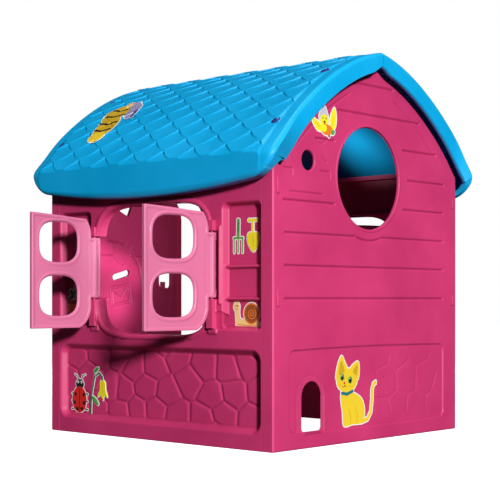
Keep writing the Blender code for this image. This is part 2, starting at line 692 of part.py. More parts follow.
BEE = ((0.02, 0.30), (0.24, 0.12), (0.60, 0.04), (0.96, 0.24), (0.98, 0.56), (0.70, 0.66),
       (0.66, 0.96), (0.40, 0.98), (0.30, 0.68), (0.08, 0.62))


def drawn(outline, low, high):
    size = (high[0] - low[0], high[1] - low[1])
    return smooth_loop([(low[0] + a * size[0], low[1] + b * size[1]) for a, b in outline])


def flat_sticker(name, outline, low, high, level, outward, facing):
    """Sticker lying just off a flat wall face."""
    sticker = plate(name, [drawn(outline, low, high)], level + outward * GAP,
                    level + outward * (GAP + STICKER), facing)
    return keep(sticker, HOUSE, "paper")


def roof_sticker(name, outline, across, y, size):
    """Sticker bent over the left roof half: a thin strip of the slope cut to the outline."""
    line = [p for p in roof_line() if BEE_STRIP[0] < p[0] < BEE_STRIP[1]]
    section = offset_line(line, -GAP) + offset_line(line, -GAP - STICKER)[::-1]
    sticker = plate(name, [[(-x, z) for x, z in section]], y - size[1], y + size[1], FACE_Y)
    start, out = screw_line(-1, across, y)
    loop = drawn(outline, (-size[0] / 2, -size[1] / 2), (size[0] / 2, size[1] / 2))
    prism = plate(name + "_outline", [loop], -0.05, 0.05, FACE_Z)
    prism.location = start
    prism.rotation_euler = (0.0, -math.atan2(-out.x, out.z), 0.0)
    boolean(sticker, tool(prism, HOUSE), "INTERSECT")
    return keep(sticker, HOUSE, "paper")


# ---------------------------------------------------------------- assembly
def build():
    build_round_window_gable()
    build_door_gable()
    build_roof("roof_left", -1)
    build_roof("roof_right", 1)

    for label, side_empty in (("left", LEFT_SIDE), ("right", RIGHT_SIDE)):
        build_side_wall(label + "_side_wall", side_empty)
        open_by = {"rear": 0.0, "front": 0.0}
        if label == "left":
            open_by = {"rear": LEFT_REAR_OPEN, "front": LEFT_FRONT_OPEN}
        for place, end in (("rear", -1), ("front", 1)):
            if label == "right":
                end = -end
            build_shutter(f"{label}_shutter_{place}", side_empty, end, open_by[place])
            build_shutter_pin(f"{label}_shutter_pin_{place}", side_empty, end)

    build_door()
    for place, low in zip(("lower", "upper"), HINGE_BARRELS):
        build_door_pin("door_hinge_pin_" + place, low)

    for label, side in (("left", -1), ("right", 1)):
        for place, facing in (("rear", -1), ("front", 1)):
            for level, across in (("upper", SCREW_ACROSS[0]), ("lower", SCREW_ACROSS[1])):
                y = facing * abs(SCREW_Y[0])
                build_screw(f"roof_screw_{label}_{place}_{level}", side, across, y)
            for level, z in (("lower", CLIP_Z[0]), ("upper", CLIP_Z[1])):
                build_clip(f"wall_clip_{label}_{place}_{level}", side, facing, z)

    rear = -HOUSE_DEPTH / 2
    flat_sticker("sticker_cat", CAT, (-0.182, 0.048), (0.032, 0.270), rear, -1, FACE_Y)
    flat_sticker("sticker_bird", BIRD, (-0.303, 0.912), (-0.174, 1.016), rear, -1, FACE_Y)
    skin = RECESS_SKIN_X
    flat_sticker("sticker_garden_tools", TOOLS, (-0.423, 0.567), (-0.313, 0.677), skin, -1, FACE_X)
    flat_sticker("sticker_snail", SNAIL, (-0.423, 0.352), (-0.310, 0.440), skin, -1, FACE_X)
    flat_sticker("sticker_flower_pot", POT, (0.351, 0.379), (0.438, 0.507), skin, -1, FACE_X)
    flat_sticker("sticker_ladybird", LADYBIRD, (0.231, 0.050), (0.418, 0.219), skin, -1, FACE_X)
    roof_sticker("sticker_bee", BEE, 0.351, 0.310, (0.240, 0.170))


build()
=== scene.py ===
"""Looks for the plastic playhouse: moulded walls, shingled roof, shutters, door and stickers."""

import json
import math

import bmesh
import bpy
import numpy as np
from mathutils import Matrix, Vector


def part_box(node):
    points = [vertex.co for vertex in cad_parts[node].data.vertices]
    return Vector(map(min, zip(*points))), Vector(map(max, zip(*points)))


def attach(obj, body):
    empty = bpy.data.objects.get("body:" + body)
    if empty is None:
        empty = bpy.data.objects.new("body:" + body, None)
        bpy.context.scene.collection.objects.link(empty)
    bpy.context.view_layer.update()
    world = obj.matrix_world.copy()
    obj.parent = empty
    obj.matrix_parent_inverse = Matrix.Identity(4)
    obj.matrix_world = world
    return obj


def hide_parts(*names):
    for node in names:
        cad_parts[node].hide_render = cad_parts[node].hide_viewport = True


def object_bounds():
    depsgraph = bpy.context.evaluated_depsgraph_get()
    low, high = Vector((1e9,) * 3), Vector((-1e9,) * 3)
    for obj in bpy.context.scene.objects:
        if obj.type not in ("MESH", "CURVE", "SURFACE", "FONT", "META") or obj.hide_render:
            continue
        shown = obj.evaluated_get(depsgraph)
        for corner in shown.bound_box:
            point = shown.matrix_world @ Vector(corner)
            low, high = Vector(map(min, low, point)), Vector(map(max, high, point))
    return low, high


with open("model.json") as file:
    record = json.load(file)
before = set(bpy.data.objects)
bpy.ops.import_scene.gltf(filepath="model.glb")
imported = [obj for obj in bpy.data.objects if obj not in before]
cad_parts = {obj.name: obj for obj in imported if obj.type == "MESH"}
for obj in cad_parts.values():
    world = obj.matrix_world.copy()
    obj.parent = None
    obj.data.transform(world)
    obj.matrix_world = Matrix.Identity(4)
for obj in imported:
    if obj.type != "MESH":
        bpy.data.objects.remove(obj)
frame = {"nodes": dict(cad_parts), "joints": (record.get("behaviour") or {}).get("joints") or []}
CAD_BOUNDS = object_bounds()
NODES = frame["nodes"]

# ---------------------------------------------------------------- places taken from the frame
REAR_LOW, REAR_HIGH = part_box("rear_gable_wall")
FRONT_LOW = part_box("front_gable_wall")[0]
GABLE_DEPTH = REAR_HIGH.y - REAR_LOW.y
REAR_FACE = REAR_LOW.y
FRONT_FACE = FRONT_LOW.y + GABLE_DEPTH
WIDTH = REAR_HIGH.x - REAR_LOW.x
DEPTH = FRONT_FACE - REAR_FACE
MID_X = (REAR_LOW.x + REAR_HIGH.x) / 2
MID_Y = (REAR_FACE + FRONT_FACE) / 2
RIDGE_Z = CAD_BOUNDS[1][2]
JOINTS = {joint["name"]: joint for joint in frame["joints"]}

SKIN = 0.007                 # wall thickness of the moulded pieces
WALL_DEPTH = 0.035           # a side wall's flange, from its outer face
WALL_TOP = 0.875
RECESS = 0.024               # depth of the CAD's niches and stone panels
PANEL_HALF = DEPTH / 2 - GABLE_DEPTH - 0.0003    # half length of a side wall's face
CORE_GAP = 0.003             # how far the plain inner solid stays behind a moulded face
GABLE_CORE_GAP = 0.0062
LEAF_CORE_GAP = 0.0055
ON_FACE = 3e-4               # CAD points closer than this to a face lie on it
FINE = 0.0025       # grid steps where there is relief and elsewhere
PLAIN = 0.005

ROUND_WINDOW = (-0.018, 0.812, 0.1582)           # middle across and up, and radius
BIRD_HOLE = (-0.314, 0.846, 0.0302)
WINDOW_MID_Z = 0.530
WINDOW_HALF = (0.250, 0.2025)
WINDOW = (0.008, WINDOW_MID_Z, WINDOW_HALF[0] - 0.0008, WINDOW_HALF[1] - 0.0008)
WINDOW_POWER = 5.0           # squareness of the window's superellipse
BEAD = 0.009                 # half width of the bead round it
SHUTTER_AXIS_HALF = 0.2626   # the hinge axes' distance from the window's middle
TAB_Z = (0.442, 0.637)
TAB_MID_Z = sum(TAB_Z) / 2
LEAF_OPEN = math.radians(20.0)                   # how far the door stands open at rest


# ---------------------------------------------------------------- shape formulas on arrays
def rounded_rectangle(u, v, centre, half, radius):
    """Distance inside a rounded rectangle, negative outside."""
    du = np.abs(u - centre[0]) - (half[0] - radius)
    dv = np.abs(v - centre[1]) - (half[1] - radius)
    outside = np.hypot(np.maximum(du, 0), np.maximum(dv, 0))
    return radius - outside - np.minimum(np.maximum(du, dv), 0)


def disc(u, v, middle_u, middle_v, radius):
    return radius - np.hypot(u - middle_u, v - middle_v)


def superellipse(u, v, centre, half, power):
    """About the distance inside a superellipse."""
    a = np.abs(u - centre[0]) / half[0] + 1e-9
    b = np.abs(v - centre[1]) / half[1] + 1e-9
    level = (a ** power + b ** power) ** (1 / power)
    slope = np.hypot(a ** (power - 1) / half[0], b ** (power - 1) / half[1])
    return (1 - level) / np.maximum(slope / level ** (power - 1), 1e-6)


def polygon(u, v, points):
    """Signed distance inside a closed polygon."""
    best = np.full(u.shape, 1e9)
    inside = np.zeros(u.shape, bool)
    for (ax, ay), (bx, by) in zip(points, points[1:] + points[:1]):
        ex, ey = bx - ax, by - ay
        t = np.clip(((u - ax) * ex + (v - ay) * ey) / max(ex * ex + ey * ey, 1e-12), 0, 1)
        best = np.minimum(best, np.hypot(u - ax - t * ex, v - ay - t * ey))
        if ay != by:
            inside ^= ((ay > v) != (by > v)) & (u < ax + (v - ay) / (by - ay) * ex)
    return np.where(inside, best, -best)


def segment(u, v, start, end):
    """Distance to a straight line piece."""
    ex, ey = end[0] - start[0], end[1] - start[1]
    t = np.clip(((u - start[0]) * ex + (v - start[1]) * ey) / (ex * ex + ey * ey), 0, 1)
    return np.hypot(u - start[0] - t * ex, v - start[1] - t * ey)


def polyline(u, v, points):
    best = np.full(u.shape, 1e9)
    for start, end in zip(points, points[1:]):
        best = np.minimum(best, segment(u, v, start, end))
    return best


def ridge(distance, width):
    return np.exp(-(distance / width) ** 2)


def smooth(low, high, value):
    t = np.clip((value - low) / (high - low), 0, 1)
    return t * t * (3 - 2 * t)


def between(low, high, soft, value):
    """One from low to high, fading to nothing at both ends."""
    return smooth(low, low + soft, value) * (1 - smooth(high - soft, high, value))


def round_edge(inside, radius):
    """How far a face drops next to its rounded edge."""
    short = np.clip(radius - inside, 0, radius)
    return -(radius - np.sqrt(np.maximum(radius * radius - short * short, 0)))


def trim(gap, raised, flat_to, end, rounding):
    """Raised strip along an opening, its inner edge rounded; gap is the distance from the opening."""
    return raised * (1 - smooth(flat_to, end, gap)) + round_edge(gap, rounding)


def lines(low, high, step, fine=(), fine_step=None):
    """Grid lines from low to high, closer together inside the fine ranges."""
    marks = [low]
    while marks[-1] < high - 1e-6:
        here = marks[-1]
        close = any(a - step <= here < b for a, b in fine)
        marks.append(min(here + (fine_step if close else step), high))
    return np.array(marks)


def flat(level):
    """The same height or depth all over."""
    return lambda u, v: np.full(u.shape, level)


def without(inside, *holes):
    """A shape with its holes taken out."""
    for hole in holes:
        inside = np.minimum(inside, -hole)
    return inside


# ---------------------------------------------------------------- moulded sheets
def link(name, data):
    obj = bpy.data.objects.new(name, data)
    bpy.context.scene.collection.objects.link(obj)
    return obj


def clip_grid(us, vs, inside):
    """Cut a grid along the outline where inside is zero. Gives points, faces and rim pieces."""
    grid_u, grid_v = np.meshgrid(us, vs, indexing="ij")
    depth = inside(grid_u, grid_v)
    depth = np.where(np.abs(depth) < 1e-7, -1e-7, depth)
    kept = depth > 0
    number = np.full(depth.shape, -1)
    number[kept] = np.arange(kept.sum())
    points_u = list(grid_u[kept])
    points_v = list(grid_v[kept])
    around = [kept[:-1, :-1], kept[1:, :-1], kept[1:, 1:], kept[:-1, 1:]]
    full, some = np.all(around, 0), np.any(around, 0)
    i, j = np.nonzero(full)
    faces = np.stack([number[i, j], number[i + 1, j], number[i + 1, j + 1], number[i, j + 1]], 1).tolist()
    crossings = {}

    def crossing(a, b):
        key = (min(a, b), max(a, b))
        if key not in crossings:
            share = depth[a] / (depth[a] - depth[b])
            crossings[key] = len(points_u)
            points_u.append(grid_u[a] + share * (grid_u[b] - grid_u[a]))
            points_v.append(grid_v[a] + share * (grid_v[b] - grid_v[a]))
        return crossings[key]

    rims = []
    for i, j in zip(*np.nonzero(some & ~full)):
        corners = [(i, j), (i + 1, j), (i + 1, j + 1), (i, j + 1)]
        face, leaving, first_entry = [], None, None
        for a, b in zip(corners, corners[1:] + corners[:1]):
            if kept[a]:
                face.append(int(number[a]))
            if kept[a] != kept[b]:
                cut = crossing(a, b)
                face.append(cut)
                if kept[a]:
                    leaving = cut
                elif leaving is not None:
                    rims.append((leaving, cut))
                    leaving = None
                else:
                    first_entry = cut
        if leaving is not None and first_entry is not None:
            rims.append((leaving, first_entry))
        if len(face) > 2:
            faces.append(face)
    return np.array(points_u), np.array(points_v), faces, rims


def turned(faces):
    """The same faces, facing the other way."""
    return [face[::-1] for face in faces]


def sheet(name, us, vs, inside, height, place, rim_depth, flip=False):
    """Moulded face: a grid with relief, cut to an outline, its rim turned back by a depth."""
    u, v, faces, rims = clip_grid(us, vs, inside)
    step = 0.0007

    def at(a, b, lift=None):
        return place(a, b, height(a, b) if lift is None else lift)

    surface = at(u, v)
    along_u = at(u + step, v) - at(u - step, v)
    along_v = at(u, v + step) - at(u, v - step)
    normals = np.cross(along_u, along_v)
    normals /= np.maximum(np.linalg.norm(normals, axis=1, keepdims=True), 1e-12)
    rim_points = sorted({p for pair in rims for p in pair})
    where = {p: k for k, p in enumerate(rim_points)}
    ru, rv = u[rim_points], v[rim_points]
    slope_u = inside(ru + step, rv) - inside(ru - step, rv)
    slope_v = inside(ru, rv + step) - inside(ru, rv - step)
    base = place(ru, rv, np.zeros(len(ru)))
    eu = place(ru + step, rv, np.zeros(len(ru))) - base
    ev = place(ru, rv + step, np.zeros(len(ru))) - base
    outward = -(slope_u[:, None] * eu + slope_v[:, None] * ev)
    outward /= np.maximum(np.linalg.norm(outward, axis=1, keepdims=True), 1e-12)
    top = place(ru, rv, height(ru, rv))
    foot = place(ru, rv, -rim_depth(ru, rv))
    count, rim_count = len(u), len(ru)
    for a, b in rims:
        wa, wb = where[a], where[b]
        faces.append([count + wb, count + wa, count + rim_count + wa, count + rim_count + wb])
    points = np.concatenate([surface, top, foot])
    all_normals = np.concatenate([normals * (-1 if flip else 1), outward, outward])
    if flip:
        faces = turned(faces)
    mesh = bpy.data.meshes.new(name)
    mesh.from_pydata(points.tolist(), [], faces)
    mesh.shade_smooth()
    mesh.normals_split_custom_set_from_vertices(all_normals.tolist())
    return link(name, mesh)


def join(name, objects):
    """One object out of several, made by joining their meshes."""
    bpy.ops.object.select_all(action="DESELECT")
    for obj in objects:
        obj.select_set(True)
    bpy.context.view_layer.objects.active = objects[0]
    if len(objects) > 1:
        bpy.ops.object.join()
    objects[0].name = name
    objects[0].data.name = name
    return objects[0]


def core(node, pull):
    """Copy of a CAD node's mesh whose vertices the pull function moves behind the moulded faces."""
    mesh = NODES[node].data.copy()
    points = np.zeros(len(mesh.vertices) * 3)
    mesh.vertices.foreach_get("co", points)
    points = points.reshape(-1, 3)
    mesh.vertices.foreach_set("co", pull(points.copy()).ravel())
    mesh.materials.clear()
    mesh.update()
    return link(node + "_core", mesh)


def dress(obj, material, body, *nodes):
    """Give a piece its material and body, and let it stand for its CAD nodes."""
    obj.data.materials.clear()
    obj.data.materials.append(material)
    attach(obj, body)
    if nodes:
        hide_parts(*nodes)
    return obj


# ---------------------------------------------------------------- materials
def plastic(name, colour, rough, grain=0.00025, vary=0.05, edge_wear_and_glint=0.25, specular=0.4, painted_crease_shade=0.38):
    """Moulded plastic: slow colour drift, fine texture, sharp edges lightened for scuffing and painted
    highlight, painted shade in creases, and uneven gloss.
    """
    material = bpy.data.materials.new(name)
    material.use_nodes = True
    tree = material.node_tree
    nodes, links = tree.nodes, tree.links
    shader = nodes["Principled BSDF"]
    place = nodes.new("ShaderNodeTexCoord")

    def add(kind, **settings):
        """New shader node; an underscore in a setting's name stands for a space."""
        node = nodes.new("ShaderNode" + kind)
        for setting, value in settings.items():
            node.inputs[setting.replace("_", " ")].default_value = value
        return node

    def noise(scale, detail, rough_level=0.5):
        node = add("TexNoise", Scale=scale, Detail=detail, Roughness=rough_level)
        links.new(place.outputs["Object"], node.inputs["Vector"])
        return node.outputs["Fac"]

    def ramp(source, low, high, first, last):
        node = add("MapRange", From_Min=low, From_Max=high, To_Min=first, To_Max=last)
        links.new(source, node.inputs["Value"])
        return node.outputs[0]

    def mix(factor, a, b):
        node = nodes.new("ShaderNodeMix")
        node.data_type = "RGBA"
        for value, socket in ((factor, node.inputs[0]), (a, node.inputs[6]), (b, node.inputs[7])):
            if isinstance(value, bpy.types.NodeSocket):
                links.new(value, socket)
            else:
                socket.default_value = value
        return node.outputs[2]

    def shade(gain, extra=0.0):
        return tuple(min(c * gain + extra, 1) for c in colour) + (1,)

    light = shade(1 + 2 * vary, 0.006)
    base = mix(ramp(noise(3.5, 3), 0.3, 0.7, 0, 1), shade(1 - 2 * vary), light)
    base = mix(ramp(noise(420, 2), 0.35, 0.7, 0, 0.10), base, light)
    pointed = nodes.new("ShaderNodeNewGeometry").outputs["Pointiness"]
    # lighter on sharp convex edges, found by pointiness: scuffing, and on the roof mostly a painted
    # highlight along the scale rims
    base = mix(ramp(pointed, 0.52, 0.60, 0, edge_wear_and_glint), base, shade(1.25, 0.05))
    # painted shade: darker in creases, grooves and hollows, found by pointiness
    base = mix(ramp(pointed, 0.49, 0.42, 0, 0.80), base, shade(painted_crease_shade))
    links.new(base, shader.inputs["Base Color"])
    gloss = ramp(noise(14, 4, 0.6), 0.3, 0.7, rough - 0.06, rough + 0.08)
    links.new(gloss, shader.inputs["Roughness"])
    texture = add("Bump", Strength=0.35, Distance=grain)
    links.new(noise(900, 3, 0.6), texture.inputs["Height"])
    ripple = add("Bump", Strength=0.20, Distance=0.0012)
    links.new(noise(9, 2), ripple.inputs["Height"])
    links.new(texture.outputs["Normal"], ripple.inputs["Normal"])
    links.new(ripple.outputs["Normal"], shader.inputs["Normal"])
    shader.inputs["Specular IOR Level"].default_value = specular
    return material


MAGENTA = plastic("magenta_plastic", (0.545, 0.031, 0.140), 0.50)
PINK = plastic("pink_plastic", (0.60, 0.150, 0.285), 0.38, vary=0.03)
# the roof's edges are lifted far for a painted highlight along the scale rims, and its painted crease shade
# is kept weak
BLUE = plastic("blue_plastic", (0.0, 0.355, 0.700), 0.42, vary=0.04, edge_wear_and_glint=0.70, specular=0.26, painted_crease_shade=0.62)
INDIGO = plastic("indigo_plastic", (0.020, 0.030, 0.190), 0.42)


# ---------------------------------------------------------------- roof line
def bezier(p0, p1, p2, p3, steps):
    t = np.linspace(0, 1, steps + 1)[:, None]
    p0, p1, p2, p3 = (np.array(p) for p in (p0, p1, p2, p3))
    return (1 - t) ** 3 * p0 + 3 * (1 - t) ** 2 * t * p1 + 3 * (1 - t) * t * t * p2 + t ** 3 * p3


ROOF_SPAN = 0.530            # half width over the eaves
EAVE_TURN_Z = 0.840          # height where the roof turns vertical
HIP = (0.470, 0.919)         # where the slope bends down to the eave
ROOF_LINE = np.concatenate([
    bezier((0.0, RIDGE_Z - 0.0005), (0.160, 1.175), (0.340, 1.060), HIP, 120),
    bezier(HIP, (0.505, 0.881), (ROOF_SPAN, 0.865), (ROOF_SPAN, EAVE_TURN_Z), 60)[1:]])
STEPS = np.hypot(*np.diff(ROOF_LINE, axis=0).T)
ALONG = np.concatenate([[0], np.cumsum(STEPS)])
TURN_S = ALONG[-1]           # slope length from the ridge to the vertical eave
END_S = TURN_S + 0.055       # nominal end of the eave
ROOF_HALF = DEPTH / 2 + 0.043
EAVE_END_Z = 0.795           # lower edge of the eave at its ends
EAVE_BOW = 0.044             # how much lower it hangs in the middle


def roof_at(s):
    """Across, height and outward normal of the roof line at a slope length."""
    x = np.interp(s, ALONG, ROOF_LINE[:, 0])
    z = np.interp(s, ALONG, ROOF_LINE[:, 1])
    e = 0.004
    dx = np.interp(s + e, ALONG, ROOF_LINE[:, 0]) - np.interp(s - e, ALONG, ROOF_LINE[:, 0])
    dz = np.interp(s + e, ALONG, ROOF_LINE[:, 1]) - np.interp(s - e, ALONG, ROOF_LINE[:, 1])
    dz = np.where(s > TURN_S - e, np.minimum(dz, -1e-4), dz)
    long = np.maximum(np.hypot(dx, dz), 1e-9)
    return x, z, -dz / long, dx / long


# ---------------------------------------------------------------- gables
def gable_outline(drop=0.046):
    x, z, nx, nz = roof_at(np.linspace(0, ALONG[120], 90))
    top = [(float(a), float(b)) for a, b in zip(x - nx * drop, z - nz * drop) if 0.045 < a < 0.420]
    half = WIDTH / 2
    right = [(half, 0.0), (half, 0.845), (half - 0.003, 0.860), (half - 0.010, 0.873)]
    right += [(half - 0.022, 0.887)] + top[::-1]
    right += [(0.040, top[0][1] + 0.004), (0.031, top[0][1] + 0.016), (0.027, 1.1762)]
    return right + [(-a, b) for a, b in right[::-1]]


GABLE = gable_outline()
GABLE_ACROSS = (-0.474, 0.474)         # the gables' grids, just past their outline
GABLE_UP = (-0.002, 1.180)
NEAR_EDGE = 0.002                      # rim points closer than this lie on the outline itself
BOARDS = ((0.439, -0.4227, 0.3946), (0.535, -0.4227, 0.3946), (0.724, -0.428, -0.186),
          (0.724, 0.164, 0.398), (0.819, 0.188, 0.402), (0.914, 0.160, 0.3546),
          (0.914, -0.2767, -0.186), (1.0086, -0.173, 0.259), (1.101, -0.1167, 0.1124),
          (0.630, -0.4227, -0.0837), (0.630, 0.0477, 0.3946))    # height, start and end
BOARD_LINE = 0.0032
WINDOW_RING = 0.1935                   # radius of the line under the round window


def siding(u, v):
    """Lap lines of the boards, with the bow under the round window."""
    ring = np.abs(disc(u, v, *ROUND_WINDOW[:2], WINDOW_RING))
    cut = ridge(ring, BOARD_LINE) * (1 - smooth(0.626, 0.634, v))
    for z, low, high in BOARDS:
        cut = np.maximum(cut, ridge(v - z, BOARD_LINE) * between(low - 0.004, high + 0.004, 0.010, u))
    return cut


def stones(u, v, seeds):
    """Gap distance between the two nearest seeds: small along the joints."""
    first = np.full(u.shape, 1e9)
    second = np.full(u.shape, 1e9)
    for a, b in seeds:
        away = np.hypot((u - a) * 0.80, v - b)
        second = np.minimum(second, np.maximum(first, away))
        first = np.minimum(first, away)
    return (second - first) / 2


def stone_seeds(low, high, rows, columns, seed):
    """Staggered rows of stone centres, pushed about at random."""
    rng = np.random.default_rng(seed)
    pitch_u = (high[0] - low[0]) / columns
    pitch_v = (high[1] - low[1]) / rows
    seeds = []
    for row in range(-1, rows + 1):
        for column in range(-1, columns + 1):
            u = low[0] + (column + 0.5 + 0.5 * (row % 2)) * pitch_u
            v = low[1] + (row + 0.5) * pitch_v
            du, dv = rng.uniform(-0.30, 0.30, 2)
            seeds.append((u + du * pitch_u, v + dv * pitch_v))
    return seeds


PANEL_SUNK = 0.0050
CLIP_Z = (0.432, 0.757)                # heights of the locking clips at each corner
GABLE_SEEDS = stone_seeds((-0.40, 0.05), (0.40, 0.29), 3, 8, 5)
PET_DOOR = (-0.2935, 0.0457)           # middle and half width


def pet_door(u, v):
    middle, half = PET_DOOR
    return np.maximum(disc(u, v, middle, 0.1505, half),
                      rounded_rectangle(u, v, (middle, 0.1), (half, 0.0512), 0.012))


def rear_inside(u, v):
    return without(polygon(u, v, GABLE), disc(u, v, *ROUND_WINDOW), disc(u, v, *BIRD_HOLE),
                   pet_door(u, v))


def rear_height(u, v):
    outer = polygon(u, v, GABLE)
    h = round_edge(outer, 0.0045) - 0.0052 * siding(u, v)
    edge_line = ridge(outer - 0.050, 0.0026) * smooth(0.86, 0.92, v) * smooth(0.10, 0.13, np.abs(u))
    h = h - 0.0034 * edge_line
    h = h + trim(-disc(u, v, *ROUND_WINDOW), 0.0022, 0.006, 0.011, 0.003)
    h = h + round_edge(-disc(u, v, *BIRD_HOLE), 0.003)
    # sunk stone panel, its upper edge bowed
    panel = rounded_rectangle(u, v, (-0.001, 0.169), (0.4054, 0.1275), 0.030)
    panel = panel + 0.006 * np.cos(u / 0.42 * 1.4) - 0.006
    joint = ridge(stones(u, v, GABLE_SEEDS), 0.0032) * smooth(0.02, 0.05, panel)
    h = h - PANEL_SUNK * smooth(0.0, 0.006, panel) - 0.0016 * joint * smooth(0.02, 0.10, u + 0.05)
    # pet door: a sunk arch with a raised trim round the hole
    surround = np.maximum(rounded_rectangle(u, v, (-0.3005, 0.10), (0.067, 0.056), 0.010),
                          disc(u, v, -0.3005, 0.1480, 0.067))
    h = h - 0.0045 * smooth(0.0, 0.004, surround) + trim(-pet_door(u, v), 0.003, 0.004, 0.007, 0.0025)
    birdhouse = np.min([polyline(u, v, path) for path in BIRDHOUSE], 0)
    h = h - 0.0030 * ridge(birdhouse, 0.0024)
    for side in (-1, 1):
        for z in CLIP_Z:
            mark = polyline(u, v, [(side * 0.456, z + 0.030), (side * 0.456, z - 0.010),
                                   (side * 0.448, z - 0.020), (side * 0.440, z - 0.018)])
            h = h - 0.0018 * ridge(mark, 0.0017)
    return h


BIRDHOUSE = [    # lines moulded round the bird hole
    [(-0.249, 0.862), (-0.226, 0.8465)],
    [(-0.4236, 0.861), (-0.402, 0.848)],
    [(-0.425, 0.8175), (-0.387, 0.8165), (-0.385, 0.800)],
    [(-0.257, 0.818), (-0.213, 0.818), (-0.210, 0.800)],
    [(-0.3965, 0.7505), (-0.245, 0.7495)],
    [(-0.282, 0.915), (-0.252, 0.900), (-0.224, 0.914)],
]


def behind_outline(points, face, toward):
    """Pull a gable's solid behind its moulded face, and shrink it a little behind its edges."""
    points[np.abs(points[:, 1] - face) < ON_FACE, 1] += toward * GABLE_CORE_GAP
    points[:, 0] = MID_X + (points[:, 0] - MID_X) * 0.9988
    points[:, 2] = 0.0006 + points[:, 2] * 0.9975
    return points


def on_gable(face, outward):
    """Place function of an upright plane across the house."""
    return lambda u, v, h: np.stack([MID_X + u, face + outward * h, v], -1)


def gable_rim(depth):
    """Rim depth: the whole gable along its outline, and the given depth at its openings."""
    return lambda u, v: np.where(np.abs(polygon(u, v, GABLE)) < NEAR_EDGE, GABLE_DEPTH, depth)


def rear_gable():
    us = lines(*GABLE_ACROSS, PLAIN, [(-0.45, 0.20)], FINE)
    vs = lines(*GABLE_UP, PLAIN, [(0.04, 0.06), (0.15, 0.22), (0.26, 0.31), (0.43, 0.448),
                                      (0.527, 0.543), (0.60, 1.02), (1.09, 1.11)], FINE)
    face = sheet("rear_face", us, vs, rear_inside, rear_height, on_gable(REAR_FACE, -1), gable_rim(0.0078))
    inner = core("rear_gable_wall", lambda p: behind_outline(p, REAR_FACE, 1))
    dress(join("rear_gable", [face, inner]), MAGENTA, "house", "rear_gable_wall")


# ---------------------------------------------------------------- door gable
DOOR_X = (-0.052, 0.256)
DOOR_MID = (DOOR_X[0] + DOOR_X[1]) / 2
DOOR_HALF = (DOOR_X[1] - DOOR_X[0]) / 2


def arch_outline(inset, sill=0.055, spring=0.740, rise=0.090):
    """Doorway or leaf outline with its edges moved in."""
    half = DOOR_HALF - inset
    angles = np.linspace(0, math.pi, 25)
    loop = [(DOOR_MID - half, sill + inset), (DOOR_MID + half, sill + inset)]
    return loop + [(DOOR_MID + half * math.cos(a), spring + (rise - inset) * math.sin(a)) for a in angles]


DOORWAY = arch_outline(0.0006)
TILT = math.radians(15)
SQUARE_TILT = math.radians(-24)


def tilted(u, v, centre, angle):
    c, s = math.cos(angle), math.sin(angle)
    return (u - centre[0]) * c + (v - centre[1]) * s, (v - centre[1]) * c - (u - centre[0]) * s


def mail_slot(u, v):
    a, b = tilted(u, v, (-0.167, 0.523), TILT)
    return rounded_rectangle(a, b, (0, 0), (0.0424, 0.0109), 0.0108)


def tilted_window(u, v):
    a, b = tilted(u, v, (-0.151, 0.7776), SQUARE_TILT)
    return rounded_rectangle(a, b, (0, 0), (0.0369, 0.0369), 0.006)


def front_holes(u, v):
    return polygon(u, v, DOORWAY), mail_slot(u, v), tilted_window(u, v)


def front_inside(u, v):
    return without(polygon(u, v, GABLE), *front_holes(u, v))


def letter_relief(u, v):
    """Envelope with its flap, tilted a little less than the slot above it."""
    a, b = tilted(u, v, (-0.170, 0.452), math.radians(9.5))
    box = np.abs(rounded_rectangle(a, b, (0, 0), (0.046, 0.034), 0.003))
    frame_line = np.abs(rounded_rectangle(a, b, (0, 0), (0.039, 0.027), 0.002))
    flap = polyline(a, b, [(-0.037, 0.025), (0.0, -0.006), (0.037, 0.025)])
    return np.minimum(np.minimum(box, frame_line), flap)


TULIP = [(-0.046, 0.030), (-0.030, 0.016), (-0.018, 0.034), (0.0, 0.016), (0.018, 0.034),
         (0.030, 0.016), (0.046, 0.030), (0.040, -0.018), (0.022, -0.040), (0.0, -0.048),
         (-0.022, -0.040), (-0.040, -0.018)]


def tulip(u, v):
    a, b = u + 0.160, v - 0.604
    return polygon(a, b, TULIP)


def front_relief(u, v):
    """Relief that both faces of the door gable share."""
    cut = 0.7 * ridge(letter_relief(u, v), 0.0026)
    arch = np.abs(superellipse(u, v, (-0.230, 0.45), (0.165, 0.190), 2.4))
    cut = np.maximum(cut, ridge(arch, 0.0042) * smooth(0.45, 0.47, v) * smooth(-0.24, -0.22, u))
    cut = np.maximum(cut, ridge(v - 0.591, 0.0022) * between(-0.43, -0.06, 0.01, u))
    for z in (0.439, 0.724, 0.819, 0.914, 1.0086, 1.101):
        half = 0.10 if z > 1.05 else 0.22 if z > 0.95 else 0.41
        span = between(-half, half, 0.01, u)
        if z < 0.90:    # the doorway and its trim interrupt the line
            span = np.maximum(between(-half, -0.095, 0.01, u), between(0.295, half, 0.01, u))
        if 0.70 < z < 0.85:    # so does the tilted window
            span = span * (1 - between(-0.215, -0.08, 0.01, u))
        if z < 0.5:    # and the envelope
            span = span * (1 - between(-0.235, -0.10, 0.01, u))
        cut = np.maximum(cut, ridge(v - z, 0.0027) * span)
    return cut


def front_face_height(u, v, relief, sunk, slope, raised, rounding):
    """Relief of one face of the door gable, with a raised trim round each opening."""
    h = -relief * front_relief(u, v) - sunk * smooth(0.0, slope, tulip(u, v))
    for hole in front_holes(u, v):
        h = h + trim(-hole, raised, 0.009, 0.013, rounding)
    return h


def front_height(u, v):
    rounded = round_edge(polygon(u, v, GABLE), 0.0045)
    return rounded + front_face_height(u, v, 0.0030, 0.0035, 0.004, 0.0015, 0.0028)


def front_inner_height(u, v):
    return front_face_height(u, v, 0.0044, 0.0050, 0.003, 0.0012, 0.0022)


INNER_FACE = SKIN + 0.0055     # the door gable's moulded indoor face, from its outer face


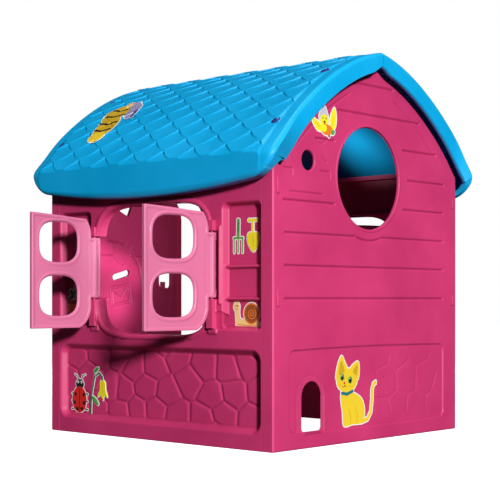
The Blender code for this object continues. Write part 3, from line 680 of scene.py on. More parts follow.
def front_gable():
    us = lines(*GABLE_ACROSS, PLAIN, [(-0.26, 0.0)], FINE)
    vs = lines(*GABLE_UP, PLAIN, [(0.38, 0.84)], FINE)
    face = sheet("front_face", us, vs, front_inside, front_height, on_gable(FRONT_FACE, 1),
                 gable_rim(INNER_FACE), True)
    inset = [(a * 0.983, 0.0085 + b * 0.985) for a, b in GABLE]

    def inner_inside(u, v):
        return np.minimum(polygon(u, v, inset), front_inside(u, v))

    back = sheet("front_back", us, vs, inner_inside, front_inner_height,
                 on_gable(FRONT_FACE - INNER_FACE, -1), flat(INNER_FACE - SKIN))
    inner = core("front_gable_wall", lambda p: behind_outline(p, FRONT_FACE, -1))
    dress(join("front_gable", [face, back, inner]), MAGENTA, "house", "front_gable_wall")


# ---------------------------------------------------------------- side walls
NICHE_FLOOR = RECESS - 0.001
STONE_FLOOR = RECESS - 0.0005
STONE_HIGH = 0.0032                    # how far the stones bulge off their floor
STONE_SEEDS = stone_seeds((-0.43, 0.055), (0.43, 0.285), 3, 9, 21)


def window_hole(u, v):
    return superellipse(u, v, WINDOW[:2], WINDOW[2:], WINDOW_POWER)


def notch(u, v):
    """Space behind the two hinge tabs."""
    cut = np.full(u.shape, -1.0)
    for end in (-1, 1):
        middle = WINDOW[0] + end * (SHUTTER_AXIS_HALF - 0.0130)
        cut = np.maximum(cut, rounded_rectangle(u, v, (middle, TAB_MID_Z), (0.0365, 0.1012), 0.003))
    return cut


def wall_outline(u, v):
    return rounded_rectangle(u, v, (0.0, WALL_TOP / 2), (PANEL_HALF, WALL_TOP / 2), 0.0005)


def side_inside(u, v):
    return without(wall_outline(u, v), window_hole(u, v), notch(u, v))


def side_height(u, v):
    h = round_edge(wall_outline(u, v), 0.002)
    # stone panel along the foot
    panel = rounded_rectangle(u, v, (0.0, 0.1695), (0.446, 0.1245), 0.038)
    bulge = 1 - ridge(stones(u, v, STONE_SEEDS), 0.0042)
    h = h - STONE_FLOOR * smooth(0.0, 0.024, panel) + STONE_HIGH * bulge * smooth(0.016, 0.026, panel)
    # a niche at each end, wider at its foot, with shelves across it
    for end in (-1, 1):
        box = rounded_rectangle(u, v, (end * 0.368, 0.535), (0.078, 0.189), 0.020)
        foot = rounded_rectangle(u, v, (end * 0.352, 0.374), (0.094, 0.028), 0.016)
        niche = np.maximum(box, foot)
        h = h - NICHE_FLOOR * smooth(0.0, 0.013, niche)
        for z in ((0.441, 0.537) if end < 0 else (0.537,)):
            shelf = smooth(z - 0.010, z - 0.004, v) * (1 - smooth(z, z + 0.003, v))
            h = h + 0.013 * shelf * smooth(0.004, 0.012, niche)
    # round bead along the window
    rim_gap = -window_hole(u, v)
    bead = np.sqrt(np.maximum(1 - ((rim_gap - BEAD) / BEAD) ** 2, 0))
    h = h + 0.0065 * bead * (rim_gap < 2 * BEAD)
    h = h + round_edge(np.minimum(rim_gap, -notch(u, v)), 0.0028)
    # post beside each pair of tabs and a tapered foot below it
    for end in (-1, 1):
        post = WINDOW[0] + end * (SHUTTER_AXIS_HALF + 0.0300)
        bar = rounded_rectangle(u, v, (post, TAB_MID_Z), (0.0055, 0.118), 0.005)
        h = h + 0.006 * smooth(-0.001, 0.005, bar)
        axis_u = WINDOW[0] + end * SHUTTER_AXIS_HALF
        taper = rounded_rectangle(u, v, (axis_u, 0.385), (0.020 - 0.05 * (v - 0.35), 0.052), 0.006)
        h = h + 0.005 * smooth(0.0, 0.005, taper)
    return h


def on_wall(direction):
    """Place function of a side wall's outer face."""
    return lambda u, v, h: np.stack(
        [MID_X + direction * (WIDTH / 2 + h), MID_Y - direction * u, v], -1)


def side_wall(label, node, direction):
    """Outer face of one side wall; direction -1 faces -X and +1 faces +X."""
    face_x = MID_X + direction * WIDTH / 2
    us = lines(-PANEL_HALF - 0.001, PANEL_HALF + 0.001, PLAIN * 0.8, [(-0.30, -0.22), (0.23, 0.31)], FINE)
    vs = lines(-0.002, WALL_TOP + 0.002, PLAIN * 0.8, [(0.03, 0.31), (0.33, 0.36), (0.42, 0.56)],
               FINE * 1.3)

    def rim(u, v):
        opening = np.maximum(window_hole(u, v), notch(u, v))
        return np.where(np.abs(opening) < NEAR_EDGE, WALL_DEPTH, 0.004)

    def pull(points):
        for level in (face_x, face_x - direction * RECESS):
            points[np.abs(points[:, 0] - level) < ON_FACE, 0] -= direction * CORE_GAP
        points[:, 2] = 0.0005 + points[:, 2] * 0.9985
        return points

    face = sheet(label + "_face", us, vs, side_inside, side_height, on_wall(direction), rim, True)
    inner = core(node, pull)
    dress(join(label, [face, inner]), MAGENTA, "house", node)


# ---------------------------------------------------------------- roof
TILE_WIDE = 0.1305
TILE_PITCH = 0.0492
LAST_CUSPS = 0.653                     # slope length of the last row's cusps
TILE_FIRST = LAST_CUSPS - 13 * TILE_PITCH
TILE_SHIFT = 0.013
TILE_DEEP = 0.044                      # a scale's lower edge hangs this far below its cusps
TILE_STEP = 0.0055
EDGE_ROUND = 0.014
CORNER = 0.085                         # radius of the eave's corners
LIP_WALL = 0.018                       # thickness of the lip round each roof half
LIP_DEPTH, RIDGE_LIP, EAVE_LIP = 0.055, 0.041, 0.034
EDGE_INSET = 0.0005
INNER_SKIN = 0.0175                    # the inner skin's depth under the roof line
EDGE_STEPS = 60


def eave_stretch(y):
    """How much longer the eave's vertical part is at this place along it."""
    share = np.clip(y / ROOF_HALF, -1, 1)
    bottom = EAVE_END_Z - EAVE_BOW * (1 - share ** 2)
    return (EAVE_TURN_Z - bottom) / (END_S - TURN_S)


def roof_place(side):
    def place(y, s, o):
        """Roof point from distance along the ridge, slope length and height over the surface."""
        x, z, nx, nz = roof_at(np.minimum(s, TURN_S))
        past = np.maximum(s - TURN_S, 0) * eave_stretch(y)
        t = np.clip((np.abs(y) - (ROOF_HALF - CORNER)) / CORNER, 0, 1)
        tuck = 0.014 * (1 - np.sqrt(np.maximum(1 - (t * 0.97) ** 2, 0))) * smooth(0.46, 0.62, s)
        across = np.clip(x + nx * o - tuck, 0.0004, ROOF_SPAN)
        return np.stack([MID_X + side * across, MID_Y + y, z + nz * o - past], -1)
    return place


def roof_inside(y, s):
    """Rounded at the eave's two corners and square at the ridge."""
    return rounded_rectangle(y, s, (0.0, END_S - 0.6), (ROOF_HALF, 0.6), CORNER)


def shingles(y, s):
    """Round-ended scales in staggered rows, each lying over the row below."""
    row = np.floor((s - TILE_FIRST) / TILE_PITCH)

    def lower_edge(row):
        across = ((y + TILE_SHIFT) / TILE_WIDE + 0.5 * np.mod(row + 1, 2)) % 1.0
        near = 2 * np.minimum(across, 1 - across)
        return TILE_FIRST + row * TILE_PITCH + TILE_DEEP * (1 - (1 - near) ** 1.7)

    long = TILE_PITCH + TILE_DEEP
    fall = lower_edge(row) - s
    below = lower_edge(row + 1) - s
    low = 1 - np.clip(below / long, 0, 1)
    high = 1 - np.clip(fall / long, 0, 1)
    return TILE_STEP * (low + (high - low) * smooth(-0.0003, 0.0026, fall))


def roof_height(y, s):
    inside = roof_inside(y, s)
    last_row = LAST_CUSPS + TILE_DEEP * 0.55
    field = smooth(0.042, 0.056, ROOF_HALF - np.abs(y)) * smooth(0.030, 0.045, s)
    field = field * (1 - smooth(last_row - 0.016, last_row + 0.030, s))
    h = shingles(y, s) * field
    return h + round_edge(inside, EDGE_ROUND)


def lip_drop(y, s):
    """Depth of the lip: full at both ends, less at the ridge and along the eave."""
    share = smooth(END_S - CORNER, END_S - 0.01, s)
    from_ridge = (LIP_DEPTH - RIDGE_LIP) * smooth(0.0, 0.07, s)
    return RIDGE_LIP + from_ridge - (LIP_DEPTH - EAVE_LIP) * share


def free_edge(inward):
    """Path round a roof half's three free edges, moved in from its outline."""
    r = CORNER - inward
    turn = np.linspace(0, math.pi / 2, 13)
    cy, cs = ROOF_HALF - CORNER, END_S - CORNER
    still, run = np.ones(EDGE_STEPS), np.linspace(0, 1, EDGE_STEPS)
    ys = [still * (ROOF_HALF - inward), cy + r * np.cos(turn), cy - 2 * cy * run,
          -cy - r * np.sin(turn), still * (inward - ROOF_HALF)]
    ss = [cs * run, cs + r * np.sin(turn), still * (END_S - inward), cs + r * np.cos(turn),
          cs * (1 - run)]
    return np.concatenate(ys), np.concatenate(ss)


def roof_lip(label, place, side):
    """Rounded rim under the skin: down its outer edge, across, and up to the inner skin."""
    loops = []
    for inward, depth in ((EDGE_INSET, 0.0), (0.003, 0.0025), (LIP_WALL - 0.003, 0.0025), (LIP_WALL, 0.0)):
        ys, ss = free_edge(inward)
        loops.append(place(ys, ss, -lip_drop(ys, ss) - depth))
    ys, ss = free_edge(LIP_WALL + EDGE_INSET)
    loops.append(place(ys, ss, np.full(ys.shape, 0.0015 - INNER_SKIN)))
    count = len(ys)
    starts = [i for i in range(4 * count) if (i + 1) % count]
    faces = [[i, i + 1, i + 1 + count, i + count] for i in starts]
    lip = bpy.data.meshes.new(label + "_lip")
    lip.from_pydata(np.concatenate(loops).tolist(), [], faces if side > 0 else turned(faces))
    lip.shade_smooth()
    lip.set_sharp_from_angle(angle=math.radians(50))
    return link(label + "_lip", lip)


def roof_half(label, node, side):
    """Outer skin with shingles, a rounded lip turned under all round, and the inner skin."""
    place = roof_place(side)
    flip = side > 0
    us = lines(-ROOF_HALF, ROOF_HALF, FINE * 1.4, [(-ROOF_HALF, -0.50), (0.50, ROOF_HALF)], FINE)
    vs = lines(0.0, END_S + 0.001, FINE * 1.1)
    top = sheet(label + "_top", us, vs, lambda y, s: roof_inside(y, s) - EDGE_INSET, roof_height, place,
                lip_drop, flip)
    under_u = lines(-ROOF_HALF + LIP_WALL, ROOF_HALF - LIP_WALL, 0.02)
    under_v = lines(0.0, END_S - LIP_WALL, 0.015)
    under = sheet(label + "_under", under_u, under_v, lambda y, s: roof_inside(y, s) - LIP_WALL,
                  flat(-INNER_SKIN), place, flat(LIP_WALL), not flip)
    pieces = [top, roof_lip(label, place, side), under, ridge_end(label, place, side)]
    pieces += [screw_boss(side, y, across) for y in SCREW_Y for across in SCREW_ACROSS]
    dress(join(label, pieces), BLUE, "house", node)


def ridge_end(label, place, side):
    """Flat face of a roof half where it meets the other one at the ridge."""
    y = np.linspace(-ROOF_HALF + 0.012, ROOF_HALF - 0.012, 40)
    top = place(y, np.zeros(40), np.full(40, -0.004))
    low = top.copy()
    low[:, 2] -= np.where(np.abs(y) > DEPTH / 2 + 0.003, RIDGE_LIP, 0.014)
    points = np.concatenate([top, low])
    points[:, 0] = MID_X + side * 0.0006
    faces = [[i, i + 1, i + 41, i + 40] for i in range(39)]
    mesh = bpy.data.meshes.new(label + "_ridge")
    mesh.from_pydata(points.tolist(), [], faces if side > 0 else turned(faces))
    return link(label + "_ridge", mesh)


# ---------------------------------------------------------------- turned and boxed small parts
def finish(name, bm):
    """Object from an edit mesh, smooth where its faces meet at under 40 degrees."""
    mesh = bpy.data.meshes.new(name)
    bm.to_mesh(mesh)
    bm.free()
    mesh.shade_smooth()
    mesh.set_sharp_from_angle(angle=math.radians(40))
    return link(name, mesh)


def revolve(name, profile, steps=32):
    """Closed turned shape round Z from (radius, height) points."""
    bm = bmesh.new()
    turns = [2 * math.pi * k / steps for k in range(steps)]
    rings = [[bm.verts.new((r * math.cos(a), r * math.sin(a), z)) for a in turns] for r, z in profile]
    for low, high in zip(rings, rings[1:]):
        for k in range(steps):
            bm.faces.new((low[k], low[(k + 1) % steps], high[(k + 1) % steps], high[k]))
    bm.faces.new(rings[0][::-1])
    bm.faces.new(rings[-1])
    bmesh.ops.recalc_face_normals(bm, faces=bm.faces)
    return finish(name, bm)


def rounded_block(name, low, high, radius):
    bm = bmesh.new()
    bmesh.ops.create_cube(bm, size=1.0)
    size, middle = Vector(high) - Vector(low), (Vector(high) + Vector(low)) / 2
    bmesh.ops.transform(bm, matrix=Matrix.Translation(middle) @ Matrix.Diagonal((*size, 1)), verts=bm.verts)
    bmesh.ops.bevel(bm, geom=bm.edges, offset=radius, segments=3, profile=0.5, affect="EDGES")
    return finish(name, bm)


SCREW_Y = (-0.474, 0.474)
SCREW_ACROSS = (0.212, 0.438)


def on_roof(side, y, across):
    """Matrix with its Z along the roof's outward normal at a place."""
    s = float(np.interp(across, ROOF_LINE[:, 0], ALONG))
    x, z, nx, nz = (float(value) for value in roof_at(np.array(s)))
    up = Vector((side * nx, 0, nz))
    turn = up.to_track_quat("Z", "Y").to_matrix().to_4x4()
    return Matrix.Translation((MID_X + side * x, MID_Y + y, z)) @ turn


def screw_boss(side, y, across):
    boss = revolve("boss", [(0.0128, -0.0450), (0.0128, -0.016)], 24)
    boss.data.transform(on_roof(side, y, across))
    return boss


def roof_screws():
    """Domed screw heads with a cross slot, and their shanks."""
    profile = [(0.0046, -0.071), (0.0049, -0.069), (0.0049, 0.0006), (0.0130, 0.0004), (0.0146, 0.0010),
               (0.0149, 0.0022), (0.0138, 0.0033), (0.0100, 0.0040), (0.0055, 0.0042)]
    for label, side in (("left", -1), ("right", 1)):
        for place, y in (("rear", SCREW_Y[0]), ("front", SCREW_Y[1])):
            for level, across in (("upper", SCREW_ACROSS[0]), ("lower", SCREW_ACROSS[1])):
                name = f"{label}_{place}_{level}"
                head = revolve("screw_" + name, profile)
                bars = [rounded_block("bar", (-x, -y_half, 0.0036), (x, y_half, 0.0047), 0.0004)
                        for x, y_half in ((0.0060, 0.0012), (0.0012, 0.0060))]
                whole = join("screw_" + name, [head] + bars)
                whole.data.transform(on_roof(side, y, across))
                dress(whole, INDIGO, "house", f"roof_screw_{name}")


def wall_clips():
    """Rounded locking pads on the gables' edges."""
    for node in sorted(NODES):
        if not node.startswith("wall_clip_"):
            continue
        low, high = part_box(node)
        outer, inner = (low.y, low.y + 0.003) if low.y < 0 else (high.y - 0.003, high.y)
        pad = rounded_block(node, (low.x, outer, low.z), (high.x, inner, high.z), 0.0012)
        blade = rounded_block("blade", (low.x + 0.003, low.y + 0.001, low.z + 0.005),
                              (high.x - 0.003, high.y - 0.001, high.z - 0.005), 0.0006)
        dress(join(node.replace("wall_", "") + "_pad", [pad, blade]), MAGENTA, "house", node)


# ---------------------------------------------------------------- shutters
SHUTTER_REACH = 0.2614
TAB_BACK = 0.022
HALF_THICK = 0.007
BARREL = 0.0095                        # radius of the hinge barrel
FIELD_SUNK = 0.0022


def shutter_outline():
    z0, z1 = 0.347, 0.708
    corners = []
    for t in np.linspace(0.075, 0.0175, 12):
        across = (SHUTTER_AXIS_HALF - t) / WINDOW_HALF[0]
        corners.append((float(t), WINDOW_HALF[1] * (1 - across ** WINDOW_POWER) ** 0.2 - 0.005))
    loop = [(SHUTTER_REACH, z0), (SHUTTER_REACH, z1), (0.16, z1 - 0.005)]
    loop += [(t, min(z1 - 0.012 + 0.05 * (t - 0.05), WINDOW_MID_Z + half)) for t, half in corners]
    loop += [(0.0175, TAB_Z[1] - 0.001), (-TAB_BACK, TAB_Z[1] - 0.001)]
    loop += [(-TAB_BACK, TAB_Z[0] + 0.001), (0.0175, TAB_Z[0] + 0.001)]
    loop += [(t, max(z0, WINDOW_MID_Z - half)) for t, half in corners[::-1]]
    return loop


SHUTTER = shutter_outline()
PANES = ((0.1505, 0.449), (0.1505, 0.618))


def pane(u, v):
    cut = np.full(u.shape, -1.0)
    for centre in PANES:
        cut = np.maximum(cut, superellipse(u, v, centre, (0.0780, 0.0630), 3.0))
    return cut


def shutter_inside(u, v):
    return without(polygon(u, v, SHUTTER), pane(u, v))


def shutter_height(front):
    def height(u, v):
        outer = polygon(u, v, SHUTTER)
        hole = -pane(u, v)
        rim_drop = 0.0 if front else 0.0010
        h = -rim_drop * (1 - smooth(0.0105, 0.0140, hole))
        h = h - FIELD_SUNK * smooth(0.010, 0.014, hole) * smooth(0.007, 0.012, outer)
        h = h - 0.0045 * (1 - smooth(0.0, 0.0075, hole)) ** 2
        h = h + round_edge(np.minimum(outer, hole), 0.0022)
        tab = 1 - smooth(0.020, 0.030, u)
        barrel = np.sqrt(np.maximum(BARREL ** 2 - u ** 2, 0)) - HALF_THICK
        inside_tab = (v > TAB_Z[0]) & (v < TAB_Z[1])
        h = np.where(inside_tab & (np.abs(u) < BARREL), np.maximum(barrel, h + FIELD_SUNK * tab), h)
        slot = rounded_rectangle(u, v, (-0.0135, TAB_MID_Z), (0.0040, 0.074), 0.0030)
        h = h - 0.0058 * smooth(0.0, 0.0012, slot)
        seam = rounded_rectangle(u, v, (0.028, TAB_MID_Z), (0.0022, 0.078), 0.002)
        return h - 0.0012 * smooth(0.0, 0.001, seam)
    return height


def shutter(label, node, joint_name, along, thick):
    """Shutter as two moulded faces back to back, built on its hinge axis."""
    joint = JOINTS[joint_name]
    axis = np.array(joint["pos_m"])
    us = lines(-0.0235, SHUTTER_REACH + 0.001, FINE * 1.3, [(-0.03, 0.04)], FINE * 0.7)
    vs = lines(0.343, 0.712, FINE * 1.3)
    along, thick = np.array(along), np.array(thick)

    def placer(sign):
        def place(u, v, h):
            points = axis[None, :] + u[:, None] * along + sign * (HALF_THICK + h)[:, None] * thick
            points[:, 2] = v
            return points
        return place

    spin = np.dot(np.cross(along, (0, 0, 1)), thick)
    pieces = []
    for sign in (1, -1):
        flip = spin * sign < 0
        pieces.append(sheet(label, us, vs, shutter_inside, shutter_height(sign > 0), placer(sign),
                            flat(HALF_THICK), flip))
    dress(join(label, pieces), PINK, joint["child"], node)


def shutters():
    """The left pair stands open and the right pair is closed."""
    for side, outward, place, end, opened in (("left", -1, "rear", -1, 86.0), ("left", -1, "front", 1, 89.0),
                                              ("right", 1, "rear", -1, 0.0), ("right", 1, "front", 1, 0.0)):
        s, c = math.sin(math.radians(opened)), math.cos(math.radians(opened))
        shutter(f"shutter_{side}_{place}", f"{side}_shutter_{place}", f"{side}_{place}_shutter_hinge",
                (outward * s, -end * c, 0), (outward * c, end * s, 0))


# ---------------------------------------------------------------- door leaf
LEAF = arch_outline(0.0032)
LEAF_IN, LEAF_OUT = -0.0215, -0.0085
DOOR_AXIS_X = -0.060


def hand_hole(u, v):
    return rounded_rectangle(u, v, (DOOR_AXIS_X + 0.1725, 0.520), (0.0520, 0.0395), 0.018)


def leaf_inside(u, v):
    return without(polygon(u, v, LEAF), hand_hole(u, v))


def leaf_height(u, v):
    outer = polygon(u, v, LEAF)
    h = round_edge(np.minimum(outer, -hand_hole(u, v)), 0.0028)
    h = h - 0.0026 * smooth(0.030, 0.036, outer)
    arch = superellipse(u, v, (DOOR_AXIS_X + 0.105, 0.36), (0.108, 0.278), 3.2)
    h = h - 0.0022 * ridge(np.abs(arch), 0.0028)
    for z in (0.2, 0.3, 0.4):
        h = h - 0.0016 * ridge(v - z, 0.0024) * smooth(0.004, 0.010, arch)
    return h + 0.0022 * (1 - smooth(0.008, 0.012, -hand_hole(u, v)))


def door_leaf():
    joint = JOINTS["door_hinge"]
    axis = Vector(joint["pos_m"])
    axis.z = 0
    turn = Matrix.Translation(axis) @ Matrix.Rotation(LEAF_OPEN, 4, "Z")
    us = lines(DOOR_X[0], DOOR_X[1], FINE * 1.5)
    vs = lines(0.055, 0.832, FINE * 1.6)
    rotation = np.array(turn)

    def placer(level, sign):
        def place(u, v, h):
            local = np.stack([u - DOOR_AXIS_X, np.full(u.shape, level) + sign * h, v, np.ones(u.shape)], -1)
            return (local @ rotation.T)[:, :3]
        return place

    pieces = []
    for level, sign, flip in ((LEAF_OUT, 1, True), (LEAF_IN, -1, False)):
        pieces.append(sheet("leaf", us, vs, leaf_inside, leaf_height, placer(level, sign),
                            flat(0.0065), flip))
    back = turn.inverted()

    def pull(points):
        for k, point in enumerate(points):
            local = back @ Vector(point)
            if abs(local.y - LEAF_OUT) < ON_FACE and local.z < 0.84:
                local.y -= LEAF_CORE_GAP
            elif abs(local.y - LEAF_IN) < ON_FACE:
                local.y += LEAF_CORE_GAP
            points[k] = turn @ local
        return points

    pieces.append(core("door_leaf", pull))
    dress(join("door", pieces), MAGENTA, "door", "door_leaf")


# ---------------------------------------------------------------- printed stickers
INKS = {
    "white": (0.80, 0.80, 0.78), "yellow": (0.80, 0.56, 0.025), "lemon": (0.84, 0.74, 0.02),
    "gold": (0.58, 0.36, 0.015), "cream": (0.84, 0.62, 0.24), "orange": (0.74, 0.20, 0.02),
    "brown": (0.30, 0.075, 0.012), "green": (0.10, 0.36, 0.06), "deep_green": (0.015, 0.15, 0.05),
    "teal": (0.01, 0.17, 0.20), "red": (0.66, 0.02, 0.02), "black": (0.012, 0.012, 0.014),
    "lilac": (0.30, 0.28, 0.46), "violet": (0.09, 0.05, 0.22), "grey": (0.52, 0.54, 0.60),
}
INK = {name: plastic("ink_" + name, colour, 0.38, grain=0.00006, vary=0.03, edge_wear_and_glint=0.05)
       for name, colour in INKS.items()}
WHITE_BORDER = 0.0032
BACKING_MARGIN = 0.008       # room left round the white backing in its grid
INK_MARGIN = 0.003
FIRST_LIFT = 0.0004          # the backing's height over the wall
LAYER_LIFT = 0.00009         # each further layer's extra height
STICKER_STEP = 0.0016


def closed_curve(points, steps=5):
    """Smooth closed line through corner points."""
    loop = []
    count = len(points)
    for i in range(count):
        p0, p1, p2, p3 = (np.array(points[(i + k - 1) % count]) for k in range(4))
        for j in range(steps):
            t = j / steps
            loop.append(0.5 * (2 * p1 + (p2 - p0) * t + (2 * p0 - 5 * p1 + 4 * p2 - p3) * t * t
                               + (3 * p1 - p0 - 3 * p2 + p3) * t ** 3))
    return [(float(a), float(b)) for a, b in loop]


def oval(centre, half, turn=0.0, steps=28):
    """Ellipse, turned by some degrees."""
    c, s = math.cos(math.radians(turn)), math.sin(math.radians(turn))
    loop = []
    for k in range(steps):
        a = half[0] * math.cos(2 * math.pi * k / steps)
        b = half[1] * math.sin(2 * math.pi * k / steps)
        loop.append((centre[0] + a * c - b * s, centre[1] + a * s + b * c))
    return loop


def fill(ink, points):
    """Smooth coloured shape. A picture is a list of layers, bottom first: places in per cent of its
    box and sizes in millimetres."""
    return ink, "fill", points, 0.0, 0.0


def dot(ink, centre, half, turn=0.0):
    return ink, "dot", [centre], half, turn


def stroke(ink, points, width):
    return ink, "stroke", points, width, 0.0


def in_box(low, high, mirror):
    """Turn shares of a sticker's box into places on its wall."""
    def at(a, b):
        a = 1 - a if mirror else a
        return (low[0] + a * (high[0] - low[0]), low[1] + b * (high[1] - low[1]))
    return at


def placed(layer, at):
    """A layer's ink, shape formula, outline points and the margin round them, at real size."""
    ink, kind, points, size, turn = layer
    points = [at(a / 100, b / 100) for a, b in points]
    if kind == "stroke":
        half = size / 2000
        return ink, lambda u, v: half - polyline(u, v, points), points, half
    if kind == "dot":
        points = oval(points[0], [reach / 1000 for reach in size], turn)
    loop = closed_curve(points) if kind == "fill" else points
    return ink, lambda u, v: polygon(u, v, loop), points, 0.0


def sticker(node, picture, at, place, level, flip):
    """Layers of ink on one white backing, level giving the height they lie at."""
    picture = [placed(layer, at) for layer in picture]
    shapes = [shape for _, shape, _, _ in picture]

    def backing(u, v):
        best = shapes[0](u, v)
        for shape in shapes[1:]:
            best = np.maximum(best, shape(u, v))
        return best + WHITE_BORDER

    layers = [("white", backing, [p for _, _, points, _ in picture for p in points], BACKING_MARGIN)]
    layers += [(ink, shape, points, grow + INK_MARGIN) for ink, shape, points, grow in picture]
    pieces = []
    for number, (ink, inside, points, grow) in enumerate(layers):
        step = STICKER_STEP * (1.0 if number == 0 else 0.7)
        grid = [lines(min(along) - grow, max(along) + grow, step) for along in zip(*points)]
        lift = FIRST_LIFT + LAYER_LIFT * number

        def height(u, v, lift=lift):
            return level(u, v) + lift

        piece = sheet(node + "_layer", *grid, inside, height, place, lambda u, v: -level(u, v), flip)
        piece.data.materials.append(INK[ink])
        pieces.append(piece)
    whole = join(node.replace("sticker_", "picture_"), pieces)
    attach(whole, "house")
    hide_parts(node)


